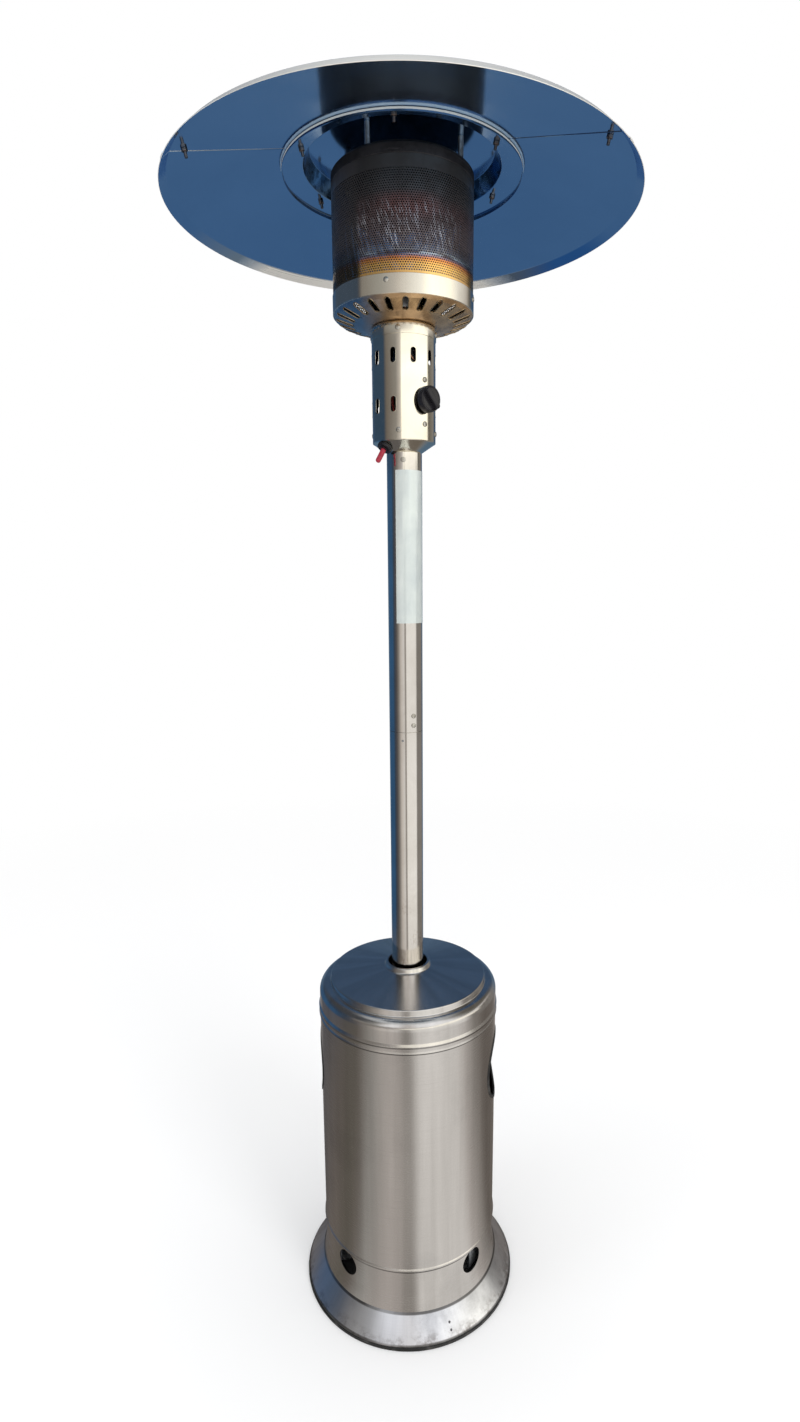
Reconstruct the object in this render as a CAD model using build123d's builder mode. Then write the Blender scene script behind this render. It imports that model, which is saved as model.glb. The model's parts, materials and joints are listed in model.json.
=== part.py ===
from build123d import *
import os
from math import atan, cos, degrees, radians, sin, sqrt, tan

os.makedirs("parts", exist_ok=True)

# A free-standing gas patio heater. Millimetres, +Z up, the axis of the pole on Z, the floor at z = 0.
# The front of the heater faces -Y. Azimuths are in degrees, counter-clockwise from +X.

# Clearances
slip = 0.1                       # between one sheet sleeve and the next
seat = 0.3                       # between a piece and what carries it, where they can move apart
running = 0.08                   # radial, shaft in bore
bolt_play = 0.4                  # radial, bolt in its hole

# Base
base_radius = 225.0              # outside of the rubber edging
edging_height = 7.0
edging_wall = 1.6
edging_floor = 1.5
base_sheet = 1.2
skirt_rim_height = 9.0
skirt_bend = 3.0
deck_radius = 174.0
deck_height = 66.0
deck_hole_radius = 128.0
bracket_hole_radius = 2.5
bracket_hole_azimuth = 292.7
bracket_hole_radii = (205.2, 213.8)
plate_thickness = 5.0
plate_margin = 6.0               # from the edge of the deck to the edge of the plate

# Legs between the base and the pole
leg_width = 38.0
leg_thickness = 4.0
leg_bend = 12.0
leg_radius = 167.0               # centre of the upright strip, outside the gas cylinder
leg_height = 606.0               # centre of the top arm, above the floor
leg_foot_radius = 130.0
leg_arm_radius = 44.0
leg_azimuths = (84.0, 204.0, 324.0)
foot_bolt_radius = 143.0
flange_bolt_radius = 60.0
bolt_radius = 4.0
bolt_head_radius = 7.5
bolt_head_height = 5.3
nut_height = 6.5
bolt_tail = 3.0                  # how far a bolt stands out of its nut

# Pole
pole_radius = 32.5
pole_wall = 1.2
lower_pole_length = 594.7
upper_pole_length = 515.7
flange_radius = 78.0
flange_thickness = 6.0
duct_radius = 22.0               # the way for the gas hose through the flange
spigot_wall = 3.0
spigot_height = 46.0
spigot_screw_rise = 27.6
coupling_wall = 1.5
coupling_length = 180.0
coupling_screw_azimuths = (296.5, 116.5)
coupling_screw_rises = (13.7, 32.2)
gauge_hole_drop = 15.8
gauge_hole_azimuth = 257.8
film_thickness = 0.4
film_length = 276.0
film_drop = 31.0                 # from the top of the pole to the top of the film
film_azimuth = 240.0
film_sweep = 150.0

# Sheet-metal screws of the pole and the head
screw_radius = 2.4
screw_head_radius = 4.6
screw_head_height = 2.2
screw_reach = 6.0
screw_head_taper = 18.0          # degrees

# Control housing at the top of the pole
head_sheet = 1.0
control_radius = 57.4
control_height = 194.0
cup_gap = 0.9                    # from the top of the pole to the middle of the cup's bend
cup_rise = 16.8                  # height of the cup's cone
cup_wall_height = 20.0
cup_screw_rise = 15.5
cup_sleeve_length = 34.0
cup_bend = 2.5
neck_screw_drop = 13.6           # from the top of the pole to the neck's screws
neck_screw_azimuths = (266.0, 26.0, 146.0)
collar_height = 20.0
collar_bend = 4.5
collar_screw_drop = 11.0
head_screw_azimuth = 260.0
vent_slot_width = 9.5
vent_slot_count = 10
vent_slot_azimuth = 215.0
upper_slot_rise = 139.5
upper_slot_length = 25.0
lower_slot_rise = 59.0
lower_slot_length = 26.0
head_hole_radius = 30.0          # the way for the burner tube
lead_hole_radius = 46.0
lead_hole_length = 20.0
lead_hole_width = 8.5
lead_azimuth = 272.0

# Valve and knob
knob_azimuth = 310.0
knob_rise = 67.0
knob_radius = 22.5
knob_depth = 12.5
knob_taper = 4.0                 # degrees
knob_gap = 5.1                   # from the housing to the back of the knob
knob_travel = 3.0
knob_recess_radius = 13.0
knob_recess_depth = 5.0
grip_width = 10.0
grip_height = 7.0
grip_turn = 48.0
stem_radius = 3.2
stem_engagement = 7.0            # how far the stem reaches into the knob
stem_seat = 12.0                 # how far it reaches into the valve
valve_block_length = 40.0
valve_width = 34.0
valve_height = 44.0
valve_back = 12.0                # how far the block reaches behind the pole's axis
barrel_radius = 12.0
nose_radius = 8.0
nose_proud = 2.0                 # how far the nose stands out of its nut
valve_nut_radius = 12.0
valve_nut_height = 4.0
knob_hole_radius = 14.0
valve_plate_thickness = 2.0
valve_plate_width = 24.0
valve_plate_margin = 6.0
valve_screw_rise = 34.0
valve_screw_drop = 40.0
inlet_thread_radius = 7.9
inlet_thread_length = 14.0
inlet_hex_radius = 11.0
inlet_hex_height = 9.0
inlet_tube_radius = 6.0
inlet_length = 88.0

# Igniter
igniter_azimuth = 222.0
igniter_radius = 45.0            # where its axis passes the cone of the cup
igniter_barrel_radius = 7.9
igniter_barrel_length = 38.0
igniter_nut_radius = 13.5
igniter_nut_height = 7.0
igniter_flange_radius = 11.0
igniter_flange_thickness = 2.0
igniter_flange_gap = 1.0         # behind the curved sheet
button_radius = 4.7
button_proud = 35.0              # from the face under the nut to the tip
button_root = 15.0               # how deep the button starts inside
button_travel = 6.0

# Tip-over switch behind the valve
tilt_width = 24.0
tilt_depth = 18.0
tilt_height = 30.0
tilt_boss_radius = 4.0
tilt_boss_height = 3.0

# Gas line and burner
gas_tube_radius = 5.0
gas_tube_bore = 3.0
injector_radius = 9.0
injector_height = 12.0
nozzle_radius = 3.5
nozzle_height = 6.0
nozzle_taper = 15.0              # degrees
injector_drop = 56.0             # from the top of the housing to the tip of the injector
venturi_radius = 20.0
venturi_wall = 1.2
venturi_length = 90.0
venturi_flange_radius = 40.0
venturi_flange_thickness = 2.0
burner_radius = 70.0
burner_rise = 14.0               # height of the slope of the burner
burner_wall_height = 15.0
burner_bend = 2.0
burner_sheet = 1.2
burner_hole_radius = 2.0
burner_ring_pitch = 12.0
burner_ring_count = 5
pilot_radius = 94.0              # from the axis to the plate that holds the pilot
pilot_burner_radius = 5.0
pilot_length = 32.0
pilot_plate_width = 44.0
pilot_plate_height = 22.0
pilot_plate_thickness = 1.5
pilot_spread = 14.0              # from the pilot to the thermocouple and the electrode
lead_spread = 6.5                # degrees between the leads where they pass the collar
lead_rise = 9.0                  # from the floor of the bowl to the leads over it
lead_bend = 6.0
thermocouple_radius = 2.5
electrode_radius = 3.2
electrode_wire_radius = 1.0
electrode_wire_length = 8.0
pilot_tube_radius = 2.0
capillary_radius = 1.5
ignition_lead_radius = 2.0

# Burner bowl, emitter screen and its cap
bowl_sheet = 1.2
bowl_radius = 123.9
bowl_wall_height = 14.0
bowl_floor_radius = 62.0
bowl_cone_radius = 90.0
bowl_shoulder_radius = 117.5
bowl_cone_rise = 4.9
bowl_slope_rise = 9.1
bowl_shoulder_rise = 5.5
bowl_slot_count = 24
bowl_slot_azimuth = 272.0
bowl_slot_radius = 104.5
bowl_slot_length = 30.0
bowl_slot_width = 9.0
bowl_bend = 1.5
band_sheet = 1.0
band_height = 30.5
band_overhang = 0.5              # how far the band reaches below the bowl's wall
band_rivet_azimuth = 257.0
rivet_radius = 4.2
rivet_height = 2.0
rivet_taper = 30.0               # degrees
rivet_rise = 20.7                # from the bottom of the band
screen_sheet = 1.0
screen_height = 190.0
cap_sheet = 1.2
cap_spigot = 11.0
cap_height = 22.0
cap_bend = 6.0
cap_crease = 0.3

# Standoff studs between the cap and the reflector
stud_count = 4
stud_azimuth = 240.0
stud_circle = 112.0
stud_radius = 4.5
stud_thread_radius = 3.0
stud_length = 34.0
stud_thread_below = 10.0
stud_thread_above = 17.0
stud_nut_radius = 5.8
stud_nut_height = 5.0
wing_hub_radius = 6.0
wing_hub_height = 7.5
wing_span = 28.0
wing_height = 14.0
wing_thickness = 2.2

# Reflector
reflector_radius = 406.5
reflector_sheet = 1.0
reflector_slope = 12.74          # degrees below the level
lip_length = 13.5                # across and down, at 45 degrees
panel_bend = 3.0
hub_radius = 160.0
hub_step = 11.0
hub_depth = 27.6
plate_radius = 207.0
plate_sheet = 1.2
plate_flange = 6.0
plate_bend = 1.5
panel_inner_radius = 175.0
panel_count = 3
seam_azimuth = 205.0
seam_overlap = 2.6               # degrees
joggle = 0.35                    # degrees
seam_gap = 0.12                  # degrees between a panel and the edge that lies under it
seam_bolt_circle = 372.0
plate_bolt_circle = 183.0
plate_bolt_count = 6
plate_bolt_azimuth = 206.0
panel_bolt_radius = 2.5
panel_bolt_head_radius = 5.0
panel_bolt_head_height = 2.6
panel_bolt_head_taper = 25.0     # degrees
panel_bolt_length = 15.0
panel_nut_radius = 5.2
panel_nut_height = 4.5

# Cylinder housing
housing_radius = 183.0
housing_sheet = 1.0
seam_height = 142.0              # bottom edge of the side, over the foot
foot_lap = 10.0
flare_height = 86.0
flare_radius = 187.8
lap_bottom = 623.0               # bottom edge of the top, over the side
lap_top = 638.0
shoulder_height = 683.0
shoulder_bend = 18.0
lap_bend = 0.6
lap_rise = 1.2                   # from the lap's edge to the side of the top, between sheet centres
lid_bend = 3.0
housing_bend = 2.0
collar_edge = 1.5
lid_radius = 160.0
lid_rise = 14.0                  # of the upright edge of the lid over the shoulder
lid_lean = 1.5
collar_radius = 47.5
collar_base_height = 713.5
collar_top_radius = 44.5
collar_top_height = 722.0
pole_hole_radius = 39.5
collar_lip = 9.0
vent_radius = 25.5
vent_height = 114.5
vent_count = 4
vent_azimuth = 45.0
foot_bend = 76.5
hand_hole_width = 134.0
hand_hole_height = 142.0
hand_hole_centre = 500.0
hand_hole_azimuth = 354.0
trim_cover = 4.0                 # how far the edging reaches over the sheet
trim_lip = 1.6                   # how far it stands off the sheet
trim_wall = 2.0                  # inside the cut edge

# Heights that follow from the sizes above
plate_bottom = deck_height + base_sheet / 2
plate_top = plate_bottom + plate_thickness
leg_foot_height = plate_top + leg_thickness / 2
flange_bottom = leg_height + leg_thickness / 2
flange_top = flange_bottom + flange_thickness
joint_height = flange_top + lower_pole_length
upper_pole_bottom = joint_height + seat
pole_top = upper_pole_bottom + upper_pole_length
control_bottom = pole_top + cup_gap + cup_rise
control_top = control_bottom + control_height
collar_centre = control_top + seat + head_sheet / 2
bowl_floor = collar_centre + head_sheet / 2 + seat + bowl_sheet / 2
bowl_cone_height = bowl_floor + bowl_cone_rise
bowl_shoulder_height = bowl_cone_height + bowl_slope_rise
bowl_wall_bottom = bowl_shoulder_height + bowl_shoulder_rise
bowl_wall_top = bowl_wall_bottom + bowl_wall_height
band_bottom = bowl_wall_bottom - band_overhang
screen_top = bowl_wall_top + screen_height
cap_top = screen_top + cap_height
hub_underside = cap_top + stud_length
hub_centre = hub_underside + plate_sheet / 2
plate_bend_height = hub_centre - hub_depth
knob_height = control_bottom + knob_rise

# Radii that follow from the sizes above
skirt_rim_radius = base_radius - edging_wall - slip - base_sheet / 2
pole_bore = pole_radius - pole_wall
sleeve_radius = pole_bore - slip
cup_wall_radius = control_radius - head_sheet - slip - head_sheet / 2
cup_sleeve_radius = sleeve_radius - head_sheet / 2
screen_bore = bowl_radius - screen_sheet
stem_bore = stem_radius + running

reflector_rise = tan(radians(reflector_slope))
lip_top_radius = reflector_radius - lip_length
plate_bend_radius = hub_radius + hub_step
cone_gap = (plate_sheet / 2 + slip + reflector_sheet / 2) / cos(radians(reflector_slope))


def plate_height(radius):
    """Centre of the centre plate's sloping ring at a radius."""
    return plate_bend_height - (radius - plate_bend_radius) * reflector_rise


def panel_height(radius):
    """Centre of a reflector panel at a radius: it lies on the centre plate's ring."""
    return plate_height(radius) + cone_gap


def skirt_height(radius):
    """Centre of the base skirt's cone at a radius."""
    share = (skirt_rim_radius - radius) / (skirt_rim_radius - deck_radius)
    return skirt_rim_height + share * (deck_height - skirt_rim_height)


def cup_cone_height(radius):
    """Centre of the cup's cone at a radius."""
    share = (radius - cup_sleeve_radius) / (cup_wall_radius - cup_sleeve_radius)
    return pole_top + cup_gap + share * cup_rise


def at(azimuth, radius, height):
    """The point at an azimuth, radius and height."""
    return Vector(radius * cos(radians(azimuth)), radius * sin(radians(azimuth)), height)


def radial_plane(azimuth, radius, height):
    """A plane that faces outwards, with its X level and its Y up."""
    outwards = Vector(cos(radians(azimuth)), sin(radians(azimuth)), 0)
    level = Vector(-sin(radians(azimuth)), cos(radians(azimuth)), 0)
    return Plane(origin=at(azimuth, radius, height), x_dir=level, z_dir=outwards)


def upright_plane(azimuth):
    """The plane through the axis at an azimuth, with its X outwards and its Y up."""
    outwards = Vector(cos(radians(azimuth)), sin(radians(azimuth)), 0)
    across = Vector(sin(radians(azimuth)), -cos(radians(azimuth)), 0)
    return Plane(origin=(0, 0, 0), x_dir=outwards, z_dir=across)


def cone_plane(azimuth, radius, height, slope):
    """A plane on a cone that falls outwards by slope degrees, facing up and outwards."""
    outwards = Vector(cos(radians(azimuth)), sin(radians(azimuth)), 0)
    normal = outwards * sin(radians(slope)) + Vector(0, 0, cos(radians(slope)))
    level = Vector(-sin(radians(azimuth)), cos(radians(azimuth)), 0)
    return Plane(origin=at(azimuth, radius, height), x_dir=level, z_dir=normal)


def sheet_section(centre_line, thickness, bend):
    """The section of a spun or rolled sheet, from its centre line of (radius, height) points."""
    with BuildSketch(Plane.XZ) as section:
        with BuildLine():
            if len(centre_line) > 2:
                FilletPolyline(*centre_line, radius=bend)
            else:
                Line(*centre_line)
        trace(line_width=thickness)
    return section.sketch


def tube_section(outer, wall, bottom, top):
    """The section of a straight tube about Z."""
    with BuildSketch(Plane.XZ) as section:
        with Locations((outer - wall / 2, (bottom + top) / 2)):
            Rectangle(wall, top - bottom)
    return section.sketch


def radial_screws(places):
    """Pan-head screws that point at the axis, one for each azimuth, radius and height."""
    with BuildPart() as screws:
        for azimuth, seat_radius, height in places:
            with BuildSketch(radial_plane(azimuth, seat_radius + slip, height)):
                Circle(screw_head_radius)
            extrude(amount=screw_head_height, taper=screw_head_taper)
            with BuildSketch(radial_plane(azimuth, seat_radius + slip, height)):
                Circle(screw_radius)
            extrude(amount=-screw_reach)
    return screws


def screw_holes(places):
    """The clearance holes for radial screws."""
    with BuildPart() as holes:
        for azimuth, seat_radius, height in places:
            with BuildSketch(radial_plane(azimuth, seat_radius + screw_head_height, height)):
                Circle(screw_radius + bolt_play)
            extrude(amount=-screw_head_height - screw_reach)
    return holes.part


def write(builder, name):
    """Labels a finished piece and writes it under its name."""
    builder.part.label = name
    export_step(builder.part, "parts/" + name + ".step")


# Base: rubber edging, skirt, deck plate
edging_width = base_sheet + 2 * slip + 2 * edging_wall
with BuildPart() as base_edging:
    with BuildSketch(Plane.XZ):
        with Locations((base_radius - edging_width / 2, edging_height / 2)):
            Rectangle(edging_width, edging_height)
        with Locations((skirt_rim_radius, edging_height / 2 + edging_floor)):
            Rectangle(base_sheet + 2 * slip, edging_height, mode=Mode.SUBTRACT)
    revolve(axis=Axis.Z)
write(base_edging, "base_edging")

skirt_slope = degrees(atan((deck_height - skirt_rim_height) / (skirt_rim_radius - deck_radius)))
skirt_line = [
    (skirt_rim_radius, edging_floor + slip),
    (skirt_rim_radius, skirt_rim_height),
    (deck_radius, deck_height),
    (deck_hole_radius, deck_height),
]
with BuildPart() as base_skirt:
    revolve(sheet_section(skirt_line, base_sheet, skirt_bend), axis=Axis.Z)
    for radius in bracket_hole_radii:
        with BuildSketch(cone_plane(bracket_hole_azimuth, radius, skirt_height(radius), skirt_slope)):
            Circle(bracket_hole_radius)
        extrude(amount=2 * base_sheet, both=True, mode=Mode.SUBTRACT)
    with BuildSketch(Plane.XY.offset(deck_height)):
        with PolarLocations(foot_bolt_radius, len(leg_azimuths), leg_azimuths[0]):
            Circle(bolt_radius + bolt_play)
    extrude(amount=2 * base_sheet, both=True, mode=Mode.SUBTRACT)
write(base_skirt, "base_skirt")

with BuildPart() as deck_plate:
    with BuildSketch(Plane.XY.offset(plate_bottom)):
        Circle(deck_radius - plate_margin)
        with PolarLocations(foot_bolt_radius, len(leg_azimuths), leg_azimuths[0]):
            Circle(bolt_radius + bolt_play, mode=Mode.SUBTRACT)
    extrude(amount=plate_thickness)
    chamfer(deck_plate.faces().sort_by(Axis.Z)[-1].edges().sort_by(SortBy.LENGTH)[-1], plate_thickness / 4)
write(deck_plate, "deck_plate")

# Three bent strip legs, with the bolts that hold them to the base and to the pole's flange
leg_line = [
    (leg_foot_radius, leg_foot_height),
    (leg_radius, leg_foot_height),
    (leg_radius, leg_height),
    (leg_arm_radius, leg_height),
]
for number, azimuth in enumerate(leg_azimuths, 1):
    with BuildPart() as leg:
        with BuildSketch(upright_plane(azimuth)):
            with BuildLine():
                FilletPolyline(*leg_line, radius=leg_bend)
            trace(line_width=leg_thickness)
        extrude(amount=leg_width / 2, both=True)
        for bolt_circle in (foot_bolt_radius, flange_bolt_radius):
            with BuildSketch(Plane.XY.offset(plate_top)):
                with PolarLocations(bolt_circle, 1, azimuth):
                    Circle(bolt_radius + bolt_play)
            extrude(amount=flange_bottom + leg_thickness, mode=Mode.SUBTRACT)
    write(leg, "support_leg_" + str(number))


leg_joints = [
    (foot_bolt_radius, plate_top + leg_thickness, deck_height - base_sheet / 2),
    (flange_bolt_radius, flange_top, leg_height - leg_thickness / 2),
]
with BuildPart() as leg_bolts:
    for bolt_circle, head_seat, nut_seat in leg_joints:
        shank_end = nut_seat - nut_height - bolt_tail
        with BuildSketch(Plane.XY.offset(head_seat)):
            with PolarLocations(bolt_circle, len(leg_azimuths), leg_azimuths[0]):
                RegularPolygon(bolt_head_radius, 6)
        extrude(amount=bolt_head_height)
        with BuildSketch(Plane.XY.offset(shank_end)):
            with PolarLocations(bolt_circle, len(leg_azimuths), leg_azimuths[0]):
                Circle(bolt_radius)
        extrude(amount=head_seat - shank_end)
write(leg_bolts, "leg_bolts")

with BuildPart() as leg_nuts:
    for bolt_circle, head_seat, nut_seat in leg_joints:
        with BuildSketch(Plane.XY.offset(nut_seat)):
            with PolarLocations(bolt_circle, len(leg_azimuths), leg_azimuths[0]):
                RegularPolygon(bolt_head_radius, 6)
                Circle(bolt_radius + running, mode=Mode.SUBTRACT)
        extrude(amount=-nut_height)
write(leg_nuts, "leg_nuts")

# Pole: foot flange with its spigot, lower tube, coupling, upper tube
spigot_screw_height = flange_top + spigot_screw_rise
spigot_places = [(azimuth + 60, pole_radius, spigot_screw_height) for azimuth in leg_azimuths]
with BuildPart() as pole_flange:
    revolve(tube_section(flange_radius, flange_radius - duct_radius, flange_bottom, flange_top), axis=Axis.Z)
    revolve(tube_section(sleeve_radius, spigot_wall, flange_top, flange_top + spigot_height), axis=Axis.Z)
    with BuildSketch(Plane.XY.offset(flange_bottom)):
        with PolarLocations(flange_bolt_radius, len(leg_azimuths), leg_azimuths[0]):
            Circle(bolt_radius + bolt_play)
    extrude(amount=flange_thickness, mode=Mode.SUBTRACT)
    add(screw_holes(spigot_places), mode=Mode.SUBTRACT)
write(pole_flange, "pole_flange")

with BuildPart() as lower_pole:
    revolve(tube_section(pole_radius, pole_wall, flange_top, joint_height), axis=Axis.Z)
    add(screw_holes(spigot_places), mode=Mode.SUBTRACT)
    with BuildSketch(radial_plane(gauge_hole_azimuth, pole_radius + 1, joint_height - gauge_hole_drop)):
        Circle(screw_radius)
    extrude(amount=-pole_wall - 1.5, mode=Mode.SUBTRACT)
write(lower_pole, "lower_pole")

coupling_places = [
    (azimuth, pole_radius, joint_height + rise)
    for azimuth in coupling_screw_azimuths
    for rise in coupling_screw_rises
]
coupling_bottom = joint_height - coupling_length / 2
with BuildPart() as coupling_sleeve:
    revolve(
        tube_section(sleeve_radius, coupling_wall, coupling_bottom, coupling_bottom + coupling_length),
        axis=Axis.Z,
    )
    add(screw_holes(coupling_places), mode=Mode.SUBTRACT)
write(coupling_sleeve, "coupling_sleeve")

neck_screw_height = pole_top - neck_screw_drop
neck_places = [(azimuth, pole_radius, neck_screw_height) for azimuth in neck_screw_azimuths]
with BuildPart() as upper_pole:
    revolve(tube_section(pole_radius, pole_wall, upper_pole_bottom, pole_top), axis=Axis.Z)
    add(screw_holes(coupling_places + neck_places), mode=Mode.SUBTRACT)
write(upper_pole, "upper_pole")

pole_screws = radial_screws(spigot_places + coupling_places + neck_places)
write(pole_screws, "pole_screws")

# Blank plastic film wrapped round the front of the upper pole
film_inner = pole_radius + slip / 2
film_outer = film_inner + film_thickness
with BuildPart() as pole_film:
    with BuildSketch(Plane.XY.offset(pole_top - film_drop - film_length)):
        with BuildLine():
            CenterArc((0, 0), film_inner, film_azimuth, film_sweep)
            CenterArc((0, 0), film_outer, film_azimuth, film_sweep)
            Line(at(film_azimuth, film_inner, 0), at(film_azimuth, film_outer, 0))
            Line(at(film_azimuth + film_sweep, film_inner, 0), at(film_azimuth + film_sweep, film_outer, 0))
        make_face()
    extrude(amount=film_length)
write(pole_film, "pole_film")

# Cup that closes the control housing below and stands in the pole
cup_line = [
    (cup_wall_radius, control_bottom + cup_wall_height),
    (cup_wall_radius, cup_cone_height(cup_wall_radius)),
    (cup_sleeve_radius, cup_cone_height(cup_sleeve_radius)),
    (cup_sleeve_radius, pole_top - cup_sleeve_length),
]
cup_slope = degrees(atan(cup_rise / (cup_wall_radius - cup_sleeve_radius)))
igniter_plane = cone_plane(
    igniter_azimuth, igniter_radius, cup_cone_height(igniter_radius), -cup_slope
)
igniter_normal = igniter_plane.z_dir
igniter_seat = Plane(
    origin=igniter_plane.origin - igniter_normal * (head_sheet / 2),
    x_dir=igniter_plane.x_dir,
    z_dir=igniter_normal * -1,
)
quarters = (0, 90, 180, 270)
cup_screw_height = control_bottom + cup_screw_rise
cup_places = [(head_screw_azimuth + turn, control_radius, cup_screw_height) for turn in quarters]
with BuildPart() as head_cup:
    revolve(sheet_section(cup_line, head_sheet, cup_bend), axis=Axis.Z)
    with BuildSketch(igniter_seat):
        Circle(igniter_barrel_radius + slip)
    extrude(amount=3 * head_sheet, both=True, mode=Mode.SUBTRACT)
    add(screw_holes(neck_places), mode=Mode.SUBTRACT)
    add(screw_holes(cup_places), mode=Mode.SUBTRACT)
write(head_cup, "head_cup")

# Slotted control housing
upper_slot_height = control_bottom + upper_slot_rise
lower_slot_height = control_bottom + lower_slot_rise
slot_azimuths = [vent_slot_azimuth + 360 / vent_slot_count * k for k in range(vent_slot_count)]
slot_reach = 25                   # degrees that the knob's panel keeps clear of slots
lower_slot_azimuths = [a for a in slot_azimuths if abs(a - knob_azimuth) > slot_reach]
collar_screw_height = control_top - collar_screw_drop
collar_outer = control_radius + slip + head_sheet
collar_places = [(head_screw_azimuth + turn, collar_outer, collar_screw_height) for turn in quarters]
valve_places = [
    (knob_azimuth, control_radius, knob_height + valve_screw_rise),
    (knob_azimuth, control_radius, knob_height - valve_screw_drop),
]
with BuildPart() as control_housing:
    revolve(tube_section(control_radius, head_sheet, control_bottom, control_top - collar_bend), axis=Axis.Z)
    for azimuth in slot_azimuths:
        with BuildSketch(radial_plane(azimuth, control_radius, upper_slot_height)):
            SlotOverall(upper_slot_length, vent_slot_width, rotation=90)
        extrude(amount=2 * head_sheet, both=True, mode=Mode.SUBTRACT)
    for azimuth in lower_slot_azimuths:
        with BuildSketch(radial_plane(azimuth, control_radius, lower_slot_height)):
            SlotOverall(lower_slot_length, vent_slot_width, rotation=90)
        extrude(amount=2 * head_sheet, both=True, mode=Mode.SUBTRACT)
    with BuildSketch(radial_plane(knob_azimuth, control_radius, knob_height)):
        Circle(knob_hole_radius)
    extrude(amount=5 * head_sheet, both=True, mode=Mode.SUBTRACT)
    add(screw_holes(cup_places), mode=Mode.SUBTRACT)
    add(screw_holes(collar_places), mode=Mode.SUBTRACT)
    add(screw_holes(valve_places), mode=Mode.SUBTRACT)
write(control_housing, "control_housing")

# Collar that caps the control housing under the burner bowl
collar_line = [
    (collar_outer - head_sheet / 2, control_top - collar_height),
    (collar_outer - head_sheet / 2, collar_centre),
    (head_hole_radius, collar_centre),
]
with BuildPart() as head_collar:
    revolve(sheet_section(collar_line, head_sheet, collar_bend), axis=Axis.Z)
    with BuildSketch(Plane.XY.offset(collar_centre)):
        with PolarLocations(lead_hole_radius, 1, lead_azimuth):
            SlotOverall(lead_hole_length, lead_hole_width, rotation=90)
    extrude(amount=2 * head_sheet, both=True, mode=Mode.SUBTRACT)
    add(screw_holes(collar_places), mode=Mode.SUBTRACT)
write(head_collar, "head_collar")

head_screws = radial_screws(cup_places + collar_places + valve_places)
write(head_screws, "head_screws")

# Slotted bowl under the emitter
bowl_wall_radius = bowl_radius - bowl_sheet / 2
bowl_line = [
    (bowl_wall_radius, bowl_wall_top),
    (bowl_wall_radius, bowl_wall_bottom),
    (bowl_shoulder_radius, bowl_shoulder_height),
    (bowl_cone_radius, bowl_cone_height),
    (bowl_floor_radius, bowl_floor),
    (head_hole_radius, bowl_floor),
]
with BuildPart() as burner_bowl:
    revolve(sheet_section(bowl_line, bowl_sheet, bowl_bend), axis=Axis.Z)
    with BuildSketch(Plane.XY.offset(bowl_floor)):
        with PolarLocations(bowl_slot_radius, bowl_slot_count, bowl_slot_azimuth):
            SlotOverall(bowl_slot_length, bowl_slot_width)
        with PolarLocations(lead_hole_radius, 1, lead_azimuth):
            SlotOverall(lead_hole_length, lead_hole_width, rotation=90)
    extrude(amount=bowl_wall_top - bowl_floor, both=True, mode=Mode.SUBTRACT)
write(burner_bowl, "burner_bowl")

# Polished band round the foot of the emitter, with its rivets
band_radius = bowl_radius + slip + band_sheet
band_places = [(band_rivet_azimuth + turn, band_bottom + rivet_rise) for turn in quarters]
with BuildPart() as emitter_band:
    revolve(tube_section(band_radius, band_sheet, band_bottom, band_bottom + band_height), axis=Axis.Z)
    for azimuth, height in band_places:
        with BuildSketch(radial_plane(azimuth, band_radius + 1, height)):
            Circle(screw_radius + slip)
        extrude(amount=-band_sheet - 2, mode=Mode.SUBTRACT)
write(emitter_band, "emitter_band")

with BuildPart() as band_rivets:
    for azimuth, height in band_places:
        with BuildSketch(radial_plane(azimuth, band_radius + slip, height)):
            Circle(rivet_radius)
        extrude(amount=rivet_height, taper=rivet_taper)
        with BuildSketch(radial_plane(azimuth, band_radius + slip, height)):
            Circle(screw_radius)
        extrude(amount=-band_sheet - 2 * slip)
write(band_rivets, "band_rivets")

# Emitter screen and the cap on its top
with BuildPart() as emitter_screen:
    revolve(tube_section(bowl_radius, screen_sheet, bowl_wall_top, screen_top), axis=Axis.Z)
write(emitter_screen, "emitter_screen")

cap_spigot_radius = screen_bore - slip - cap_sheet / 2
cap_wall_radius = bowl_radius - cap_sheet / 2
cap_jog = cap_wall_radius - cap_spigot_radius
cap_line = [
    (cap_spigot_radius, screen_top - cap_spigot),
    (cap_spigot_radius, screen_top + seat + slip),
    (cap_wall_radius, screen_top + seat + slip + cap_jog),
    (cap_wall_radius, cap_top - cap_sheet / 2 - cap_bend),
    (cap_wall_radius - cap_bend, cap_top - cap_sheet / 2),
    (0, cap_top - cap_sheet / 2),
]
with BuildPart() as emitter_cap:
    revolve(sheet_section(cap_line, cap_sheet, cap_crease), axis=Axis.Z)
    with BuildSketch(Plane.XY.offset(cap_top)):
        with PolarLocations(stud_circle, stud_count, stud_azimuth):
            Circle(stud_thread_radius + bolt_play)
    extrude(amount=-2 * cap_sheet, mode=Mode.SUBTRACT)
write(emitter_cap, "emitter_cap")

# Studs that carry the reflector, nuts under the cap, wing nuts on the reflector
with BuildPart() as standoff_studs:
    with BuildSketch(Plane.XY.offset(cap_top)):
        with PolarLocations(stud_circle, stud_count, stud_azimuth):
            Circle(stud_radius)
    extrude(amount=stud_length)
    with BuildSketch(Plane.XY.offset(cap_top - stud_thread_below)):
        with PolarLocations(stud_circle, stud_count, stud_azimuth):
            Circle(stud_thread_radius)
    extrude(amount=stud_thread_below + stud_length + stud_thread_above)
write(standoff_studs, "standoff_studs")

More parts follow.
